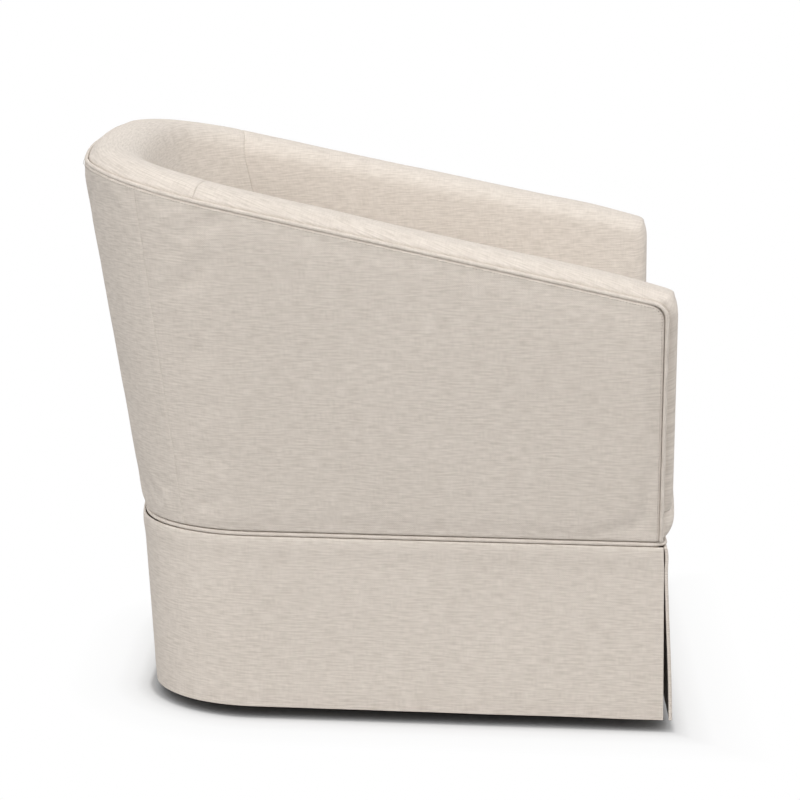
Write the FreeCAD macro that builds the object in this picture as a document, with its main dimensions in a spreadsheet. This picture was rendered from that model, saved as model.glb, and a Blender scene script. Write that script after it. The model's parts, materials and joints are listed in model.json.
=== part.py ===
import FreeCAD, Part
import math
import os

import Sketcher

# Swivel barrel chair. The swivel axis is the Z axis, the floor is Z = 0 and the chair faces -Y.
# All lengths are millimetres and all angles degrees.

doc = FreeCAD.newDocument("swivel_barrel_chair")
sheet = doc.addObject("Spreadsheet::Sheet", "Sizes")

SIZES = [
    # Outer outline at the rim, in the rim's own sloping plane
    ("rim_height", 715, "top edge of the outside cover above the floor, middle of the back"),
    ("rim_back", 386, "swivel axis to that edge"),
    ("rim_front", 370, "swivel axis to the front end of the arms' outside covers"),
    ("rim_half_width", 382, "half the width over the arms' front ends"),
    ("rim_corner", 206, "radius of the rear corners"),
    ("rim_sweep", 1560, "radius of the back"),
    ("rim_flare", 3.3, "angle that each arm opens towards the front"),
    ("rim_fall", 11.9, "angle that the rim drops towards the front"),
    # Outer outline at the skirt's welt, which is level
    ("waist_height", 250, "bottom edge of the outside covers above the floor"),
    ("waist_back_draw", 73, "how far that edge lies inside the rim at the back"),
    ("waist_side_draw", 36, "and at the arms' front ends"),
    ("waist_corner", 165, "radius of the rear corners"),
    ("waist_sweep", 1600, "radius of the back"),
    ("waist_flare", 5.0, "angle that each side opens towards the front"),
    ("foot_side_inset", 18, "how far the frame's foot lies inside the waist at the sides"),
    ("foot_back_inset", 24, "and at the back"),
    # Layers of the wall, from the outside in
    ("cover_thick", 7, "outside cover with its padding"),
    ("liner_thick", 3, "fibreboard liner behind the outside covers"),
    ("layer_gap", 0.5, "clearance between two layers of the wall"),
    ("rest_gap", 0.15, "clearance of curved pieces that lie on each other"),
    ("moving_gap", 0.3, "clearance between pieces that move past each other"),
    ("board_thick", 22, "frame boards"),
    ("joint_gap", 0.15, "clearance between glued boards whose faces slant"),
    ("arm_thick", 87, "whole wall at the rim, from cover to cover"),
    ("arm_thick_low", 77, "whole wall of the arms at the waist"),
    ("back_thick_low", 134, "whole wall of the back at the waist"),
    ("inner_corner", 92, "radius of the inside's rear corners at the waist"),
    ("rim_board_width", 60, "boards under the rim"),
    ("rim_board_thick", 20, "boards under the rim"),
    ("arm_crown", 22, "height of the padded roll above the arms' rim"),
    ("back_crown", 29, "height of the padded roll above the back's rim"),
    ("inside_seam", 1.12, "place of the seam between inside back and inside arm along the outline"),
    ("outside_seam", 1.415, "place of the seam between outside back and outside arm"),
    ("seam_gap", 0.004, "gap between two panels at their seam, as a step along the outline"),
    ("crown_swell", 0.8, "place where the roll begins to rise from the arm's height to the back's"),
    # Frame
    ("frame_front", 367, "swivel axis to the frame's front face"),
    ("front_rail_top", 300, "top of the front rail"),
    ("post_depth", 40, "front posts, front to back"),
    ("post_width", 50, "front posts, across"),
    ("upright_half", 0.16, "half the span of a rear upright along the outline"),
    ("cross_rail_place", 170, "swivel axis to the middle of each cross rail"),
    ("cross_rail_height", 80, "cross rails"),
    ("spring_rail_place", 186, "swivel axis to the front face of the rear spring rail"),
    ("spring_rail_height", 110, "rear spring rail"),
    ("block_leg", 60, "legs of the triangular corner blocks"),
    ("block_height", 60, "corner blocks"),
    ("board_side", 440, "swivel mounting board, each side"),
    ("board_corner", 30, "rounded corners of the mounting board"),
    ("mount_board_thick", 18, "swivel mounting board"),
    ("board_bore", 60, "hole over the centre rivet"),
    ("dust_thick", 1.2, "dust cover under the frame"),
    # Swivel base
    ("glide_height", 6, "floor to the ring's tube"),
    ("glide_diameter", 30, "glides"),
    ("glide_wrap", 5, "how far a glide's saddle rises around the tube"),
    ("ring_radius", 215, "middle of the base ring's tube"),
    ("ring_tube", 25, "base ring's tube"),
    ("spider_width", 34, "bent flat bars of the spider"),
    ("spider_thick", 8, "bent flat bars of the spider"),
    ("spider_rise", 39, "foot of the spider's bars to their raised middle"),
    ("spider_flat", 122, "swivel axis to the bend of a bar"),
    ("spider_miter", 2, "step between a bar's inner and outer bends"),
    ("spider_bore", 46, "hole in the middle of the spider"),
    ("plate_side", 180, "swivel plates, each side"),
    ("plate_thick", 4, "swivel plates"),
    ("plate_corner", 12, "rounded corners of the swivel plates"),
    ("plate_bolt_place", 70, "bolts from the middle of the plates, along each side"),
    ("rivet_diameter", 23, "centre rivet"),
    ("rivet_bore", 11.5, "hole through the centre rivet"),
    ("rivet_flange", 36, "flanges of the centre rivet"),
    ("rivet_flange_thick", 2.5, "flanges of the centre rivet"),
    ("ball_diameter", 10, "bearing balls"),
    ("ball_track", 56, "radius of the ball track"),
    ("ball_count", 16, "bearing balls"),
    ("ball_gap", 0.15, "clearance of a ball in its grooves"),
    ("groove_depth", 1.5, "ball grooves in the plates"),
    ("cage_inner", 42, "inner radius of the ball cage"),
    ("cage_outer", 68, "outer radius of the ball cage"),
    ("cage_thick", 2, "ball cage"),
    ("bolt_diameter", 8, "bolts of the swivel plates"),
    ("bolt_head", 15, "low heads of those bolts"),
    ("bolt_head_thick", 2.6, "low heads of those bolts"),
    ("bolt_play", 0.3, "clearance of a bolt in its hole, on the radius"),
    ("nut_width", 13, "nuts across their flats"),
    ("nut_thick", 6.5, "nuts"),
    ("screw_diameter", 5, "wood screws of the mounting board"),
    ("screw_head", 10, "heads of those screws"),
    ("screw_length", 45, "wood screws of the mounting board"),
    ("screw_head_thick", 2, "heads of those screws"),
    ("screw_tip", 8, "tapered tips of those screws"),
    ("screw_spread", 187, "swivel axis to the outermost screws along a cross rail"),
    ("screw_near", 66, "and to the next ones"),
    ("bolt_tip", 2, "how far a bolt's end stands past its nut"),
    ("tee_nut_wall", 1.2, "barrels of the tee nuts"),
    ("tee_nut_bottom", 3, "face of the mounting board to the barrels' lower end"),
    ("tee_flange", 21, "flanges of the tee nuts"),
    ("tee_flange_thick", 1.5, "flanges of the tee nuts"),
    # Seat deck
    ("spring_wire", 3.8, "sinuous seat springs"),
    ("spring_rise", 4.6, "front rail's top to the middle of the spring wire"),
    ("spring_width", 46, "width of a spring's loops"),
    ("spring_loop", 6, "radius of a spring's turns"),
    ("spring_pitch", 92, "middle of one spring to the next"),
    ("clip_length", 20, "spring clips, along the rail"),
    ("clip_depth", 16, "spring clips, front to back"),
    ("deck_pad_thick", 18, "felt and foam over the springs"),
    ("deck_cloth_thick", 1.2, "deck cloth"),
    ("deck_gap", 0.5, "clearance between the layers of the deck"),
    ("inner_pad_bottom", 318, "where the inside pads end, above the floor"),
    ("border_bulge", 17, "front border's middle ahead of the frame"),
    ("border_edge", 5, "front border's edges ahead of the frame"),
    ("arm_face_edge", 5, "arm fronts' edges ahead of the frame"),
    ("arm_face_shoulder", 14, "arm fronts' rounded shoulder ahead of the frame"),
    ("arm_face_shoulder_draw", 8, "how far that shoulder lies inside their edge"),
    ("arm_face_bulge", 19, "arm fronts' middle ahead of the frame"),
    ("arm_face_draw", 24, "how far the arm fronts' middle lies inside their edge"),
    # Welts and skirt
    ("welt_diameter", 5.5, "welt cords"),
    ("welt_gap", 0.4, "clearance between a welt and what it lies on"),
    ("welt_turn", 11, "radius of the rim welt's turn at the arm fronts"),
    ("skirt_welt_turn", 16.5, "radius of the skirt welt's turns at the front corners"),
    ("skirt_thick", 3, "skirt panels, face and lining"),
    ("skirt_front_place", 376, "swivel axis to the top of the front skirt panel"),
    ("hem_height", 15, "hem above the floor"),
    ("hem_side_inset", 4, "hem inside the waist at the sides"),
    ("hem_back_inset", 14, "and at the back"),
    ("hem_front_kick", 9, "hem ahead of that place"),
    ("slit", 5, "open kick slits at the skirt's corners"),
    ("back_slit_place", 2.12, "place of the rear slits along the outline"),
    # Seat cushion
    ("cushion_gap", 3, "cushion to the inside covers"),
    ("cushion_front", 380, "swivel axis to the cushion's front"),
    ("cushion_corner", 78, "front corners of the cushion"),
    ("cushion_boxing", 112, "height of the cushion's boxed sides"),
    ("cushion_belly", 32, "welts to the boxing's fullest part"),
    ("cushion_under", 7, "underside to the lower welt"),
    ("cushion_foot", 15, "how far the flat underside lies inside the sides"),
    ("cushion_draw", 5, "how far the sides are drawn in at the welts"),
    ("cushion_crown", 27, "full height of the crown's arch above the upper welt"),
    ("cushion_crown_reach", 110, "half width of that arch"),
    ("cushion_crown_end", 60, "angle along the arch where its middle levels off"),
    ("cushion_sweep", 1500, "radius of the cushion's back edge"),
    ("case_thick", 2, "cushion case"),
    ("core_gap", 0.5, "cushion core to its case"),
    ("cushion_welt", 5, "cushion's welt cords"),
    ("cushion_welt_lift", 1.5, "how far those cords stand out from their seams"),
    ("zip_width", 22, "zip tapes with their teeth"),
    ("zip_thick", 1.5, "zip tapes with their teeth"),
    ("zip_half", 170, "half the zip's length"),
    ("zip_gap", 0.2, "clearance between the case and the zip's tapes"),
    ("slider_length", 11, "zip slider"),
    ("slider_height", 8, "zip slider"),
    ("slider_thick", 3, "zip slider"),
]


def fill_sheet(rows):
    for row, (alias, value, meaning) in enumerate(rows, start=1):
        sheet.set(f"A{row}", meaning)
        sheet.set(f"B{row}", str(value))
        sheet.setAlias(f"B{row}", alias)
    doc.recompute()


fill_sheet(SIZES)


def size(alias):
    return float(sheet.get(alias))


def vec(x, y, z=0.0):
    return FreeCAD.Vector(x, y, z)


# Heights that follow from the sizes
RING_BOTTOM = size("glide_height")
RING_MIDDLE = RING_BOTTOM + size("ring_tube") / 2
RING_TOP = RING_BOTTOM + size("ring_tube")
SPIDER_TOP = RING_TOP + size("spider_rise")
LOWER_PLATE_TOP = SPIDER_TOP + size("plate_thick")
BALL_MIDDLE = LOWER_PLATE_TOP - size("groove_depth") + size("ball_gap") + size("ball_diameter") / 2
UPPER_PLATE_BOTTOM = 2 * BALL_MIDDLE - LOWER_PLATE_TOP
UPPER_PLATE_TOP = UPPER_PLATE_BOTTOM + size("plate_thick")
FRAME_BOTTOM = UPPER_PLATE_TOP + size("mount_board_thick")
BORDER_BOTTOM = size("waist_height") + size("layer_gap")
SPRING_MIDDLE = size("front_rail_top") + size("spring_rise")
DECK_BOTTOM = SPRING_MIDDLE + size("spring_wire") / 2 + size("deck_gap")
CLOTH_BOTTOM = DECK_BOTTOM + size("deck_pad_thick") + size("deck_gap")
BORDER_TOP = CLOTH_BOTTOM + size("deck_cloth_thick")
CUSHION_BOTTOM = BORDER_TOP + size("moving_gap")

# Insets from the outer surface to each layer of the wall
LINER = size("cover_thick") + size("layer_gap")
FRAME = LINER + size("liner_thick") + size("layer_gap")
FRAME_INNER = FRAME + size("board_thick")
PAD = FRAME_INNER + size("layer_gap")
RIM_BOARD_INNER = FRAME + size("rim_board_width")
POST_INNER = FRAME + size("post_width")
WELT_CLEAR = size("welt_diameter") + size("welt_gap")


class Outline:
    # Half of a barrel plan: a straight flaring side, a round rear corner and a swept back, all tangent.
    # A place along it runs from 0 at the left front, over 1 and 2 at the corner's two ends and 3 at the
    # middle of the back, to 6 at the right front.

    def __init__(self, half_width, front, back, corner, sweep, flare):
        lean = math.radians(flare)
        self.front = front
        self.corner = corner
        self.sweep = sweep
        self.along = vec(math.sin(lean), math.cos(lean))
        self.inward = vec(math.cos(lean), -math.sin(lean))
        self.start = vec(-half_width, -front)
        self.sweep_centre = vec(0, back - sweep)
        reach = self.start + self.inward * corner - self.sweep_centre
        half = reach.dot(self.along)
        run = math.sqrt(half ** 2 - reach.dot(reach) + (sweep - corner) ** 2) - half
        self.corner_centre = self.sweep_centre + reach + self.along * run
        outward = self.corner_centre - self.sweep_centre
        self.side_angle = math.atan2(-self.inward.y, -self.inward.x) % (2 * math.pi)
        self.back_angle = math.atan2(outward.y, outward.x)

    def place(self, where, inset, front):
        mirror = where > 3
        along = 6 - where if mirror else where
        if along <= 1:
            near = self.start + self.inward * inset
            near = near + self.along * ((-front - near.y) / self.along.y)
            far = self.corner_centre - self.inward * (self.corner - inset)
            point = near + (far - near) * along
        elif along <= 2:
            angle = self.side_angle + (self.back_angle - self.side_angle) * (along - 1)
            point = self.corner_centre + vec(math.cos(angle), math.sin(angle)) * (self.corner - inset)
        else:
            angle = self.back_angle + (math.pi / 2 - self.back_angle) * (along - 2)
            point = self.sweep_centre + vec(math.cos(angle), math.sin(angle)) * (self.sweep - inset)
        return vec(-point.x, point.y) if mirror else point


class Level:
    # An outline laid at a height, level or in the rim's plane, whose normal is up.

    def __init__(self, outline, height, tilted=False):
        self.outline = outline
        self.height = height
        self.tilt = math.radians(size("rim_fall")) if tilted else 0.0

    def lift(self, point, up=0.0):
        if not self.tilt:
            return vec(point.x, point.y, self.height + up)
        run = point.y - size("rim_back")
        return vec(
            point.x,
            size("rim_back") + run * math.cos(self.tilt) - up * math.sin(self.tilt),
            self.height + run * math.sin(self.tilt) + up * math.cos(self.tilt),
        )

    def front_for(self, reach):
        # The outline's own front coordinate for a distance ahead of the swivel axis.
        if not self.tilt:
            return reach
        return (size("rim_back") + reach) / math.cos(self.tilt) - size("rim_back")

    def at(self, where, inset=0.0, up=0.0, front=None):
        reach = self.front_for(size("rim_front") if front is None else front)
        return self.lift(self.outline.place(where, inset, reach), up)


def rim_outline(inset=0.0):
    reach = size("rim_back") + size("rim_front")
    front = reach / math.cos(math.radians(size("rim_fall"))) - size("rim_back")
    return Outline(
        size("rim_half_width") - inset / math.cos(math.radians(size("rim_flare"))),
        front,
        size("rim_back") - inset,
        size("rim_corner") - inset,
        size("rim_sweep") - inset,
        size("rim_flare"),
    )


def level_outline(side_inset, back_inset, corner=None):
    if corner is None:
        corner = size("waist_corner") - max(side_inset, back_inset)
    return Outline(
        size("rim_half_width") - size("waist_side_draw") - side_inset,
        size("rim_front"),
        size("rim_back") - size("waist_back_draw") - back_inset,
        corner,
        size("waist_sweep") - back_inset,
        size("waist_flare"),
    )


RIM = Level(rim_outline(), size("rim_height"), tilted=True)
WAIST = Level(level_outline(0, 0), size("waist_height"))
FOOT = Level(level_outline(size("foot_side_inset"), size("foot_back_inset")), FRAME_BOTTOM)
INNER_RIM = Level(rim_outline(size("arm_thick")), size("rim_height"), tilted=True)
INNER_WAIST = Level(
    level_outline(size("arm_thick_low"), size("back_thick_low"), size("inner_corner")),
    size("waist_height"),
)


def run_edges(level, inset, first, last, front=None, up=0.0):
    # The edges of an outline from one place along it to another, as pairs (ends and middle, straight).
    forward = first < last
    low, high = min(first, last), max(first, last)
    stops = [low] + [stop for stop in range(1, 6) if low < stop < high] + [high]
    if not forward:
        stops.reverse()
    edges = []
    for start, end in zip(stops, stops[1:]):
        points = [level.at(where, inset, up, front) for where in (start, (start + end) / 2, end)]
        if max(start, end) <= 1 or min(start, end) >= 5:
            edges.append(Part.LineSegment(points[0], points[2]).toShape())
        else:
            edges.append(Part.Arc(*points).toShape())
    return edges


def ring_wire(outer, outer_inset, inner, inner_inset, first, last, front):
    out = run_edges(outer, outer_inset, first, last, front)
    back = run_edges(inner, inner_inset, last, first, front)
    far = Part.LineSegment(out[-1].Vertexes[-1].Point, back[0].Vertexes[0].Point).toShape()
    near = Part.LineSegment(back[-1].Vertexes[-1].Point, out[0].Vertexes[0].Point).toShape()
    return Part.Wire(out + [far] + back + [near])


def solid_of(shape):
    solid = Part.Solid(shape.Shells[0]) if not shape.Solids else shape.Solids[0]
    if solid.Volume < 0:
        solid.reverse()
    return solid


def wall(low, high, outer_inset, inner_inset, first, last, front):
    # A piece of the barrel's wall between two levels and two insets.
    wires = [
        ring_wire(level, outer_inset, level, inner_inset, first, last, front) for level in (low, high)
    ]
    return solid_of(Part.makeLoft(wires, True, True))


def interior(low, high, inset, front):
    # Everything inside the wall at an inset.
    wires = []
    for level in (low, high):
        edges = run_edges(level, inset, 0, 6, front)
        close = Part.LineSegment(edges[-1].Vertexes[-1].Point, edges[0].Vertexes[0].Point).toShape()
        wires.append(Part.Wire(edges + [close]))
    return solid_of(Part.makeLoft(wires, True, True))


# Beyond the whole chair, for shapes that trim others
FAR = 3 * size("rim_height")
AHEAD = size("frame_front") + 2 * size("arm_face_bulge")


def rim_block(bottom, top):
    # A slab between two heights over the rim's plane.
    block = Part.makeBox(2 * FAR, 2 * FAR, top - bottom, vec(-FAR, -FAR, bottom))
    pivot = vec(0, size("rim_back"), size("rim_height"))
    block.translate(pivot)
    block.rotate(pivot, vec(1, 0, 0), size("rim_fall"))
    return block


def above_rim(height):
    return rim_block(height, FAR)


def below(height):
    return Part.makeBox(2 * FAR, 2 * FAR, FAR, vec(-FAR, -FAR, height - FAR))


def behind(place):
    return Part.makeBox(2 * FAR, FAR, 2 * FAR, vec(-FAR, place, -FAR))


def ahead_of(place):
    return Part.makeBox(2 * FAR, FAR, 2 * FAR, vec(-FAR, place - FAR, -FAR))


def rim_board(outer_inset, inner_inset, first, last, front):
    # A board under the rim, bevelled to the wall.
    blank = wall(WAIST, RIM, outer_inset, inner_inset, first, last, front)
    return solid_of(blank.common(above_rim(-size("rim_board_thick"))))


PIECES = []


def keep(piece):
    PIECES.append(piece)
    return piece


def feature(label, shape):
    piece = doc.addObject("Part::Feature", label)
    piece.Shape = shape
    piece.Placement = FreeCAD.Placement()
    return keep(piece)


def bind(thing, **expressions):
    for name, expression in expressions.items():
        thing.setExpression(name.replace("__", "."), expression)
    return thing


def box(label, **expressions):
    return bind(doc.addObject("Part::Box", label), **expressions)


def cylinder(label, **expressions):
    return bind(doc.addObject("Part::Cylinder", label), **expressions)


def cut(label, base, tool):
    result = doc.addObject("Part::Cut", label)
    result.Base, result.Tool = base, tool
    return result


def common(label, base, tool):
    result = doc.addObject("Part::Common", label)
    result.Base, result.Tool = base, tool
    return result


def fuse(label, things):
    result = doc.addObject("Part::MultiFuse", label)
    result.Shapes = things
    return result


def group(label, things):
    result = doc.addObject("Part::Compound", label)
    result.Links = things
    return keep(result)


def base_plane(body, role):
    return next(item for item in body.Origin.OriginFeatures if item.Role == role)


def new_sketch(body, label, role):
    sketch = body.newObject("Sketcher::SketchObject", label)
    sketch.AttachmentSupport = [(base_plane(body, role), "")]
    sketch.MapMode = "FlatFace"
    return sketch


def add_polygon(sketch, points):
    # A closed polygon whose corners are fixed by expressions, each point as two expressions.
    here = len(sketch.Geometry)
    count = len(points)
    for index in range(count):
        angle = 2 * math.pi * index / count
        after = 2 * math.pi * (index + 1) / count
        start = vec(100 * math.cos(angle), 100 * math.sin(angle))
        end = vec(100 * math.cos(after), 100 * math.sin(after))
        sketch.addGeometry(Part.LineSegment(start, end))
    for index in range(count):
        sketch.addConstraint(
            Sketcher.Constraint("Coincident", here + index, 2, here + (index + 1) % count, 1)
        )
    for index, (across, up) in enumerate(points):
        for kind, expression in (("DistanceX", across), ("DistanceY", up)):
            number = sketch.addConstraint(
                Sketcher.Constraint(kind, -1, 1, here + index, 1, 10.0 + index)
            )
            sketch.setExpression(f"Constraints[{number}]", expression)


def add_circle(sketch, radius, across="0", up="0"):
    here = sketch.addGeometry(Part.Circle(vec(1, 1), vec(0, 0, 1), 5))
    for kind, expression in (("DistanceX", across), ("DistanceY", up)):
        number = sketch.addConstraint(Sketcher.Constraint(kind, -1, 1, here, 3, 1.0))
        sketch.setExpression(f"Constraints[{number}]", expression)
    number = sketch.addConstraint(Sketcher.Constraint("Radius", here, 5.0))
    sketch.setExpression(f"Constraints[{number}]", radius)


def padded_body(label, role, length, draw, middle=False, placement=None):
    body = doc.addObject("PartDesign::Body", label)
    sketch = new_sketch(body, label + "_sketch", role)
    draw(sketch)
    pad = body.newObject("PartDesign::Pad", label + "_pad")
    pad.Profile = sketch
    pad.setExpression("Length", length)
    if middle:
        pad.SideType = "Symmetric"
    sketch.Visibility = False
    bind(body, **(placement or {}))
    return body


def revolved_body(label, points, place):
    body = doc.addObject("PartDesign::Body", label)
    sketch = new_sketch(body, label + "_sketch", "XZ_Plane")
    add_polygon(sketch, points)
    spin = body.newObject("PartDesign::Revolution", label + "_revolution")
    spin.Profile = sketch
    spin.ReferenceAxis = (sketch, ["V_Axis"])
    spin.Angle = 360
    bind(body, **place)
    return body


# Expressions for the heights, from the same sizes as above
Z_RING_MIDDLE = "Sizes.glide_height + Sizes.ring_tube / 2"
Z_RING_TOP = "Sizes.glide_height + Sizes.ring_tube"
Z_SPIDER_TOP = Z_RING_TOP + " + Sizes.spider_rise"
Z_LOWER_TOP = Z_SPIDER_TOP + " + Sizes.plate_thick"
Z_BALL = Z_LOWER_TOP + " - Sizes.groove_depth + Sizes.ball_gap + Sizes.ball_diameter / 2"
Z_UPPER_BOTTOM = f"2 * ({Z_BALL}) - ({Z_LOWER_TOP})"
Z_UPPER_TOP = f"{Z_UPPER_BOTTOM} + Sizes.plate_thick"
Z_FRAME_BOTTOM = f"{Z_UPPER_TOP} + Sizes.mount_board_thick"


def square_plate(label, side, corner, thick, holes, bore, bottom):
    def draw(sketch):
        half = f"{side} / 2"
        add_polygon(sketch, [(f"-{half}", f"-{half}"), (half, f"-{half}"), (half, half), (f"-{half}", half)])
        add_circle(sketch, bore)
        for across in (f"-{holes}", holes):
            for up in (f"-{holes}", holes):
                add_circle(sketch, "Sizes.bolt_diameter / 2 + Sizes.bolt_play", across, up)

    body = padded_body(label, "XY_Plane", thick, draw, placement={"Placement__Base__z": bottom})
    doc.recompute()
    rounds = body.newObject("PartDesign::Fillet", label + "_corners")
    edges = [
        f"Edge{number}"
        for number, edge in enumerate(body.Shape.Edges, start=1)
        if edge.Curve.TypeId == "Part::GeomLine"
        and abs(edge.Vertexes[0].Z - edge.Vertexes[-1].Z) > 0.5 * edge.Length
    ]
    rounds.Base = (body.Tip if body.Tip != rounds else body.Group[1], edges)
    rounds.setExpression("Radius", corner)
    return body


def make_swivel_base():
    ring = doc.addObject("Part::Torus", "base_ring")
    bind(ring, Radius1="Sizes.ring_radius", Radius2="Sizes.ring_tube / 2", Placement__Base__z=Z_RING_MIDDLE)
    keep(ring)

    glide = cylinder(
        "glide_blank",
        Radius="Sizes.glide_diameter / 2",
        Height="Sizes.glide_height + Sizes.glide_wrap",
        Placement__Base__x="Sizes.ring_radius",
    )
    seat = doc.addObject("Part::Torus", "glide_seat")
    bind(
        seat,
        Radius1="Sizes.ring_radius",
        Radius2="Sizes.ring_tube / 2 + Sizes.rest_gap",
        Placement__Base__z=Z_RING_MIDDLE,
    )
    saddle = cut("glide_saddle", glide, seat)
    doc.recompute()
    copies = []
    for index in range(6):
        copy = doc.addObject("Part::Feature", f"glide_{index + 1}")
        copy.Shape = saddle.Shape
        copy.Placement = FreeCAD.Placement(vec(0, 0), FreeCAD.Rotation(vec(0, 0, 1), 60 * index))
        copies.append(copy)
    group("base_glides", copies)

    def hat(sketch):
        foot = "Sizes.ring_radius + Sizes.ring_tube / 2"
        bend = "Sizes.ring_radius - Sizes.ring_tube / 2"
        knee = "Sizes.spider_flat"
        low, high, thick = Z_RING_TOP, Z_SPIDER_TOP, "Sizes.spider_thick"
        half = [
            (foot, low),
            (bend, low),
            (f"{knee} - Sizes.spider_miter", f"{high} - {thick}"),
        ]
        upper = [
            (knee, high),
            (f"{bend} + Sizes.spider_miter", f"{low} + {thick}"),
            (foot, f"{low} + {thick}"),
        ]
        mirrored = [(f"-({across})", up) for across, up in half + upper]
        add_polygon(sketch, half[::-1] + upper[::-1] + mirrored[3:] + mirrored[:3])

    bars = []
    for index in range(2):
        bar = padded_body(f"spider_bar_{index + 1}", "XZ_Plane", "Sizes.spider_width", hat, middle=True)
        bar.Placement = FreeCAD.Placement(vec(0, 0), FreeCAD.Rotation(vec(0, 0, 1), 45 + 90 * index))
        bars.append(bar)
    bore = cylinder(
        "spider_hole", Radius="Sizes.spider_bore / 2", Height=f"{Z_SPIDER_TOP} + Sizes.spider_thick"
    )
    bolts = []
    for index in range(4):
        hole = cylinder(
            f"spider_bolt_hole_{index + 1}",
            Radius="Sizes.bolt_diameter / 2 + Sizes.bolt_play",
            Height=f"{Z_SPIDER_TOP} + Sizes.spider_thick",
            Placement__Base__x="Sizes.plate_bolt_place" if index in (0, 3) else "-Sizes.plate_bolt_place",
            Placement__Base__y="Sizes.plate_bolt_place" if index < 2 else "-Sizes.plate_bolt_place",
        )
        bolts.append(hole)
    keep(cut("base_spider", fuse("spider_bars", bars), fuse("spider_holes", [bore] + bolts)))

    track = doc.addObject("Part::Torus", "ball_track_tool")
    bind(
        track,
        Radius1="Sizes.ball_track",
        Radius2="Sizes.ball_diameter / 2 + Sizes.ball_gap",
        Placement__Base__z=Z_BALL,
    )
    plate = ("Sizes.plate_side", "Sizes.plate_corner", "Sizes.plate_thick", "Sizes.plate_bolt_place")
    lower = square_plate("lower_plate_blank", *plate, "Sizes.rivet_diameter / 2 + Sizes.rest_gap", Z_SPIDER_TOP)
    keep(cut("swivel_lower_plate", lower, track))
    upper = square_plate(
        "upper_plate_blank", *plate, "Sizes.rivet_diameter / 2 + Sizes.moving_gap", Z_UPPER_BOTTOM
    )
    keep(cut("swivel_upper_plate", upper, track))

    flange, shank, lip = "Sizes.rivet_flange / 2", "Sizes.rivet_diameter / 2", "Sizes.rivet_flange_thick"
    low_face = f"{Z_SPIDER_TOP} - Sizes.moving_gap"
    high_face = f"{Z_UPPER_TOP} + Sizes.moving_gap"
    rivet = revolved_body(
        "swivel_rivet",
        [
            ("Sizes.rivet_bore / 2", f"{low_face} - {lip}"),
            (flange, f"{low_face} - {lip}"),
            (flange, low_face),
            (shank, low_face),
            (shank, high_face),
            (flange, high_face),
            (flange, f"{high_face} + {lip}"),
            ("Sizes.rivet_bore / 2", f"{high_face} + {lip}"),
        ],
        {},
    )
    keep(rivet)

    balls = []
    for index in range(int(size("ball_count"))):
        ball = doc.addObject("Part::Sphere", f"ball_{index + 1}")
        turn = f"360 / Sizes.ball_count * {index}"
        bind(
            ball,
            Radius="Sizes.ball_diameter / 2",
            Placement__Base__x=f"Sizes.ball_track * cos({turn})",
            Placement__Base__y=f"Sizes.ball_track * sin({turn})",
            Placement__Base__z=Z_BALL,
        )
        balls.append(ball)
    group("swivel_balls", balls)

    def cage(sketch):
        add_circle(sketch, "Sizes.cage_outer")
        add_circle(sketch, "Sizes.cage_inner")
        for index in range(int(size("ball_count"))):
            turn = f"360 / Sizes.ball_count * {index}"
            across, up = f"Sizes.ball_track * cos({turn})", f"Sizes.ball_track * sin({turn})"
            add_circle(sketch, "Sizes.ball_diameter / 2 + Sizes.moving_gap", across, up)

    bottom = {"Placement__Base__z": f"{Z_BALL} - Sizes.cage_thick / 2"}
    keep(padded_body("ball_cage", "XY_Plane", "Sizes.cage_thick", cage, placement=bottom))


def four_places(label, make):
    things = []
    for index in range(4):
        thing = make(f"{label}_{index + 1}")
        across = "Sizes.plate_bolt_place" if index in (0, 3) else "-Sizes.plate_bolt_place"
        up = "Sizes.plate_bolt_place" if index < 2 else "-Sizes.plate_bolt_place"
        bind(thing, Placement__Base__x=across, Placement__Base__y=up)
        things.append(thing)
    return group(label, things)


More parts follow.
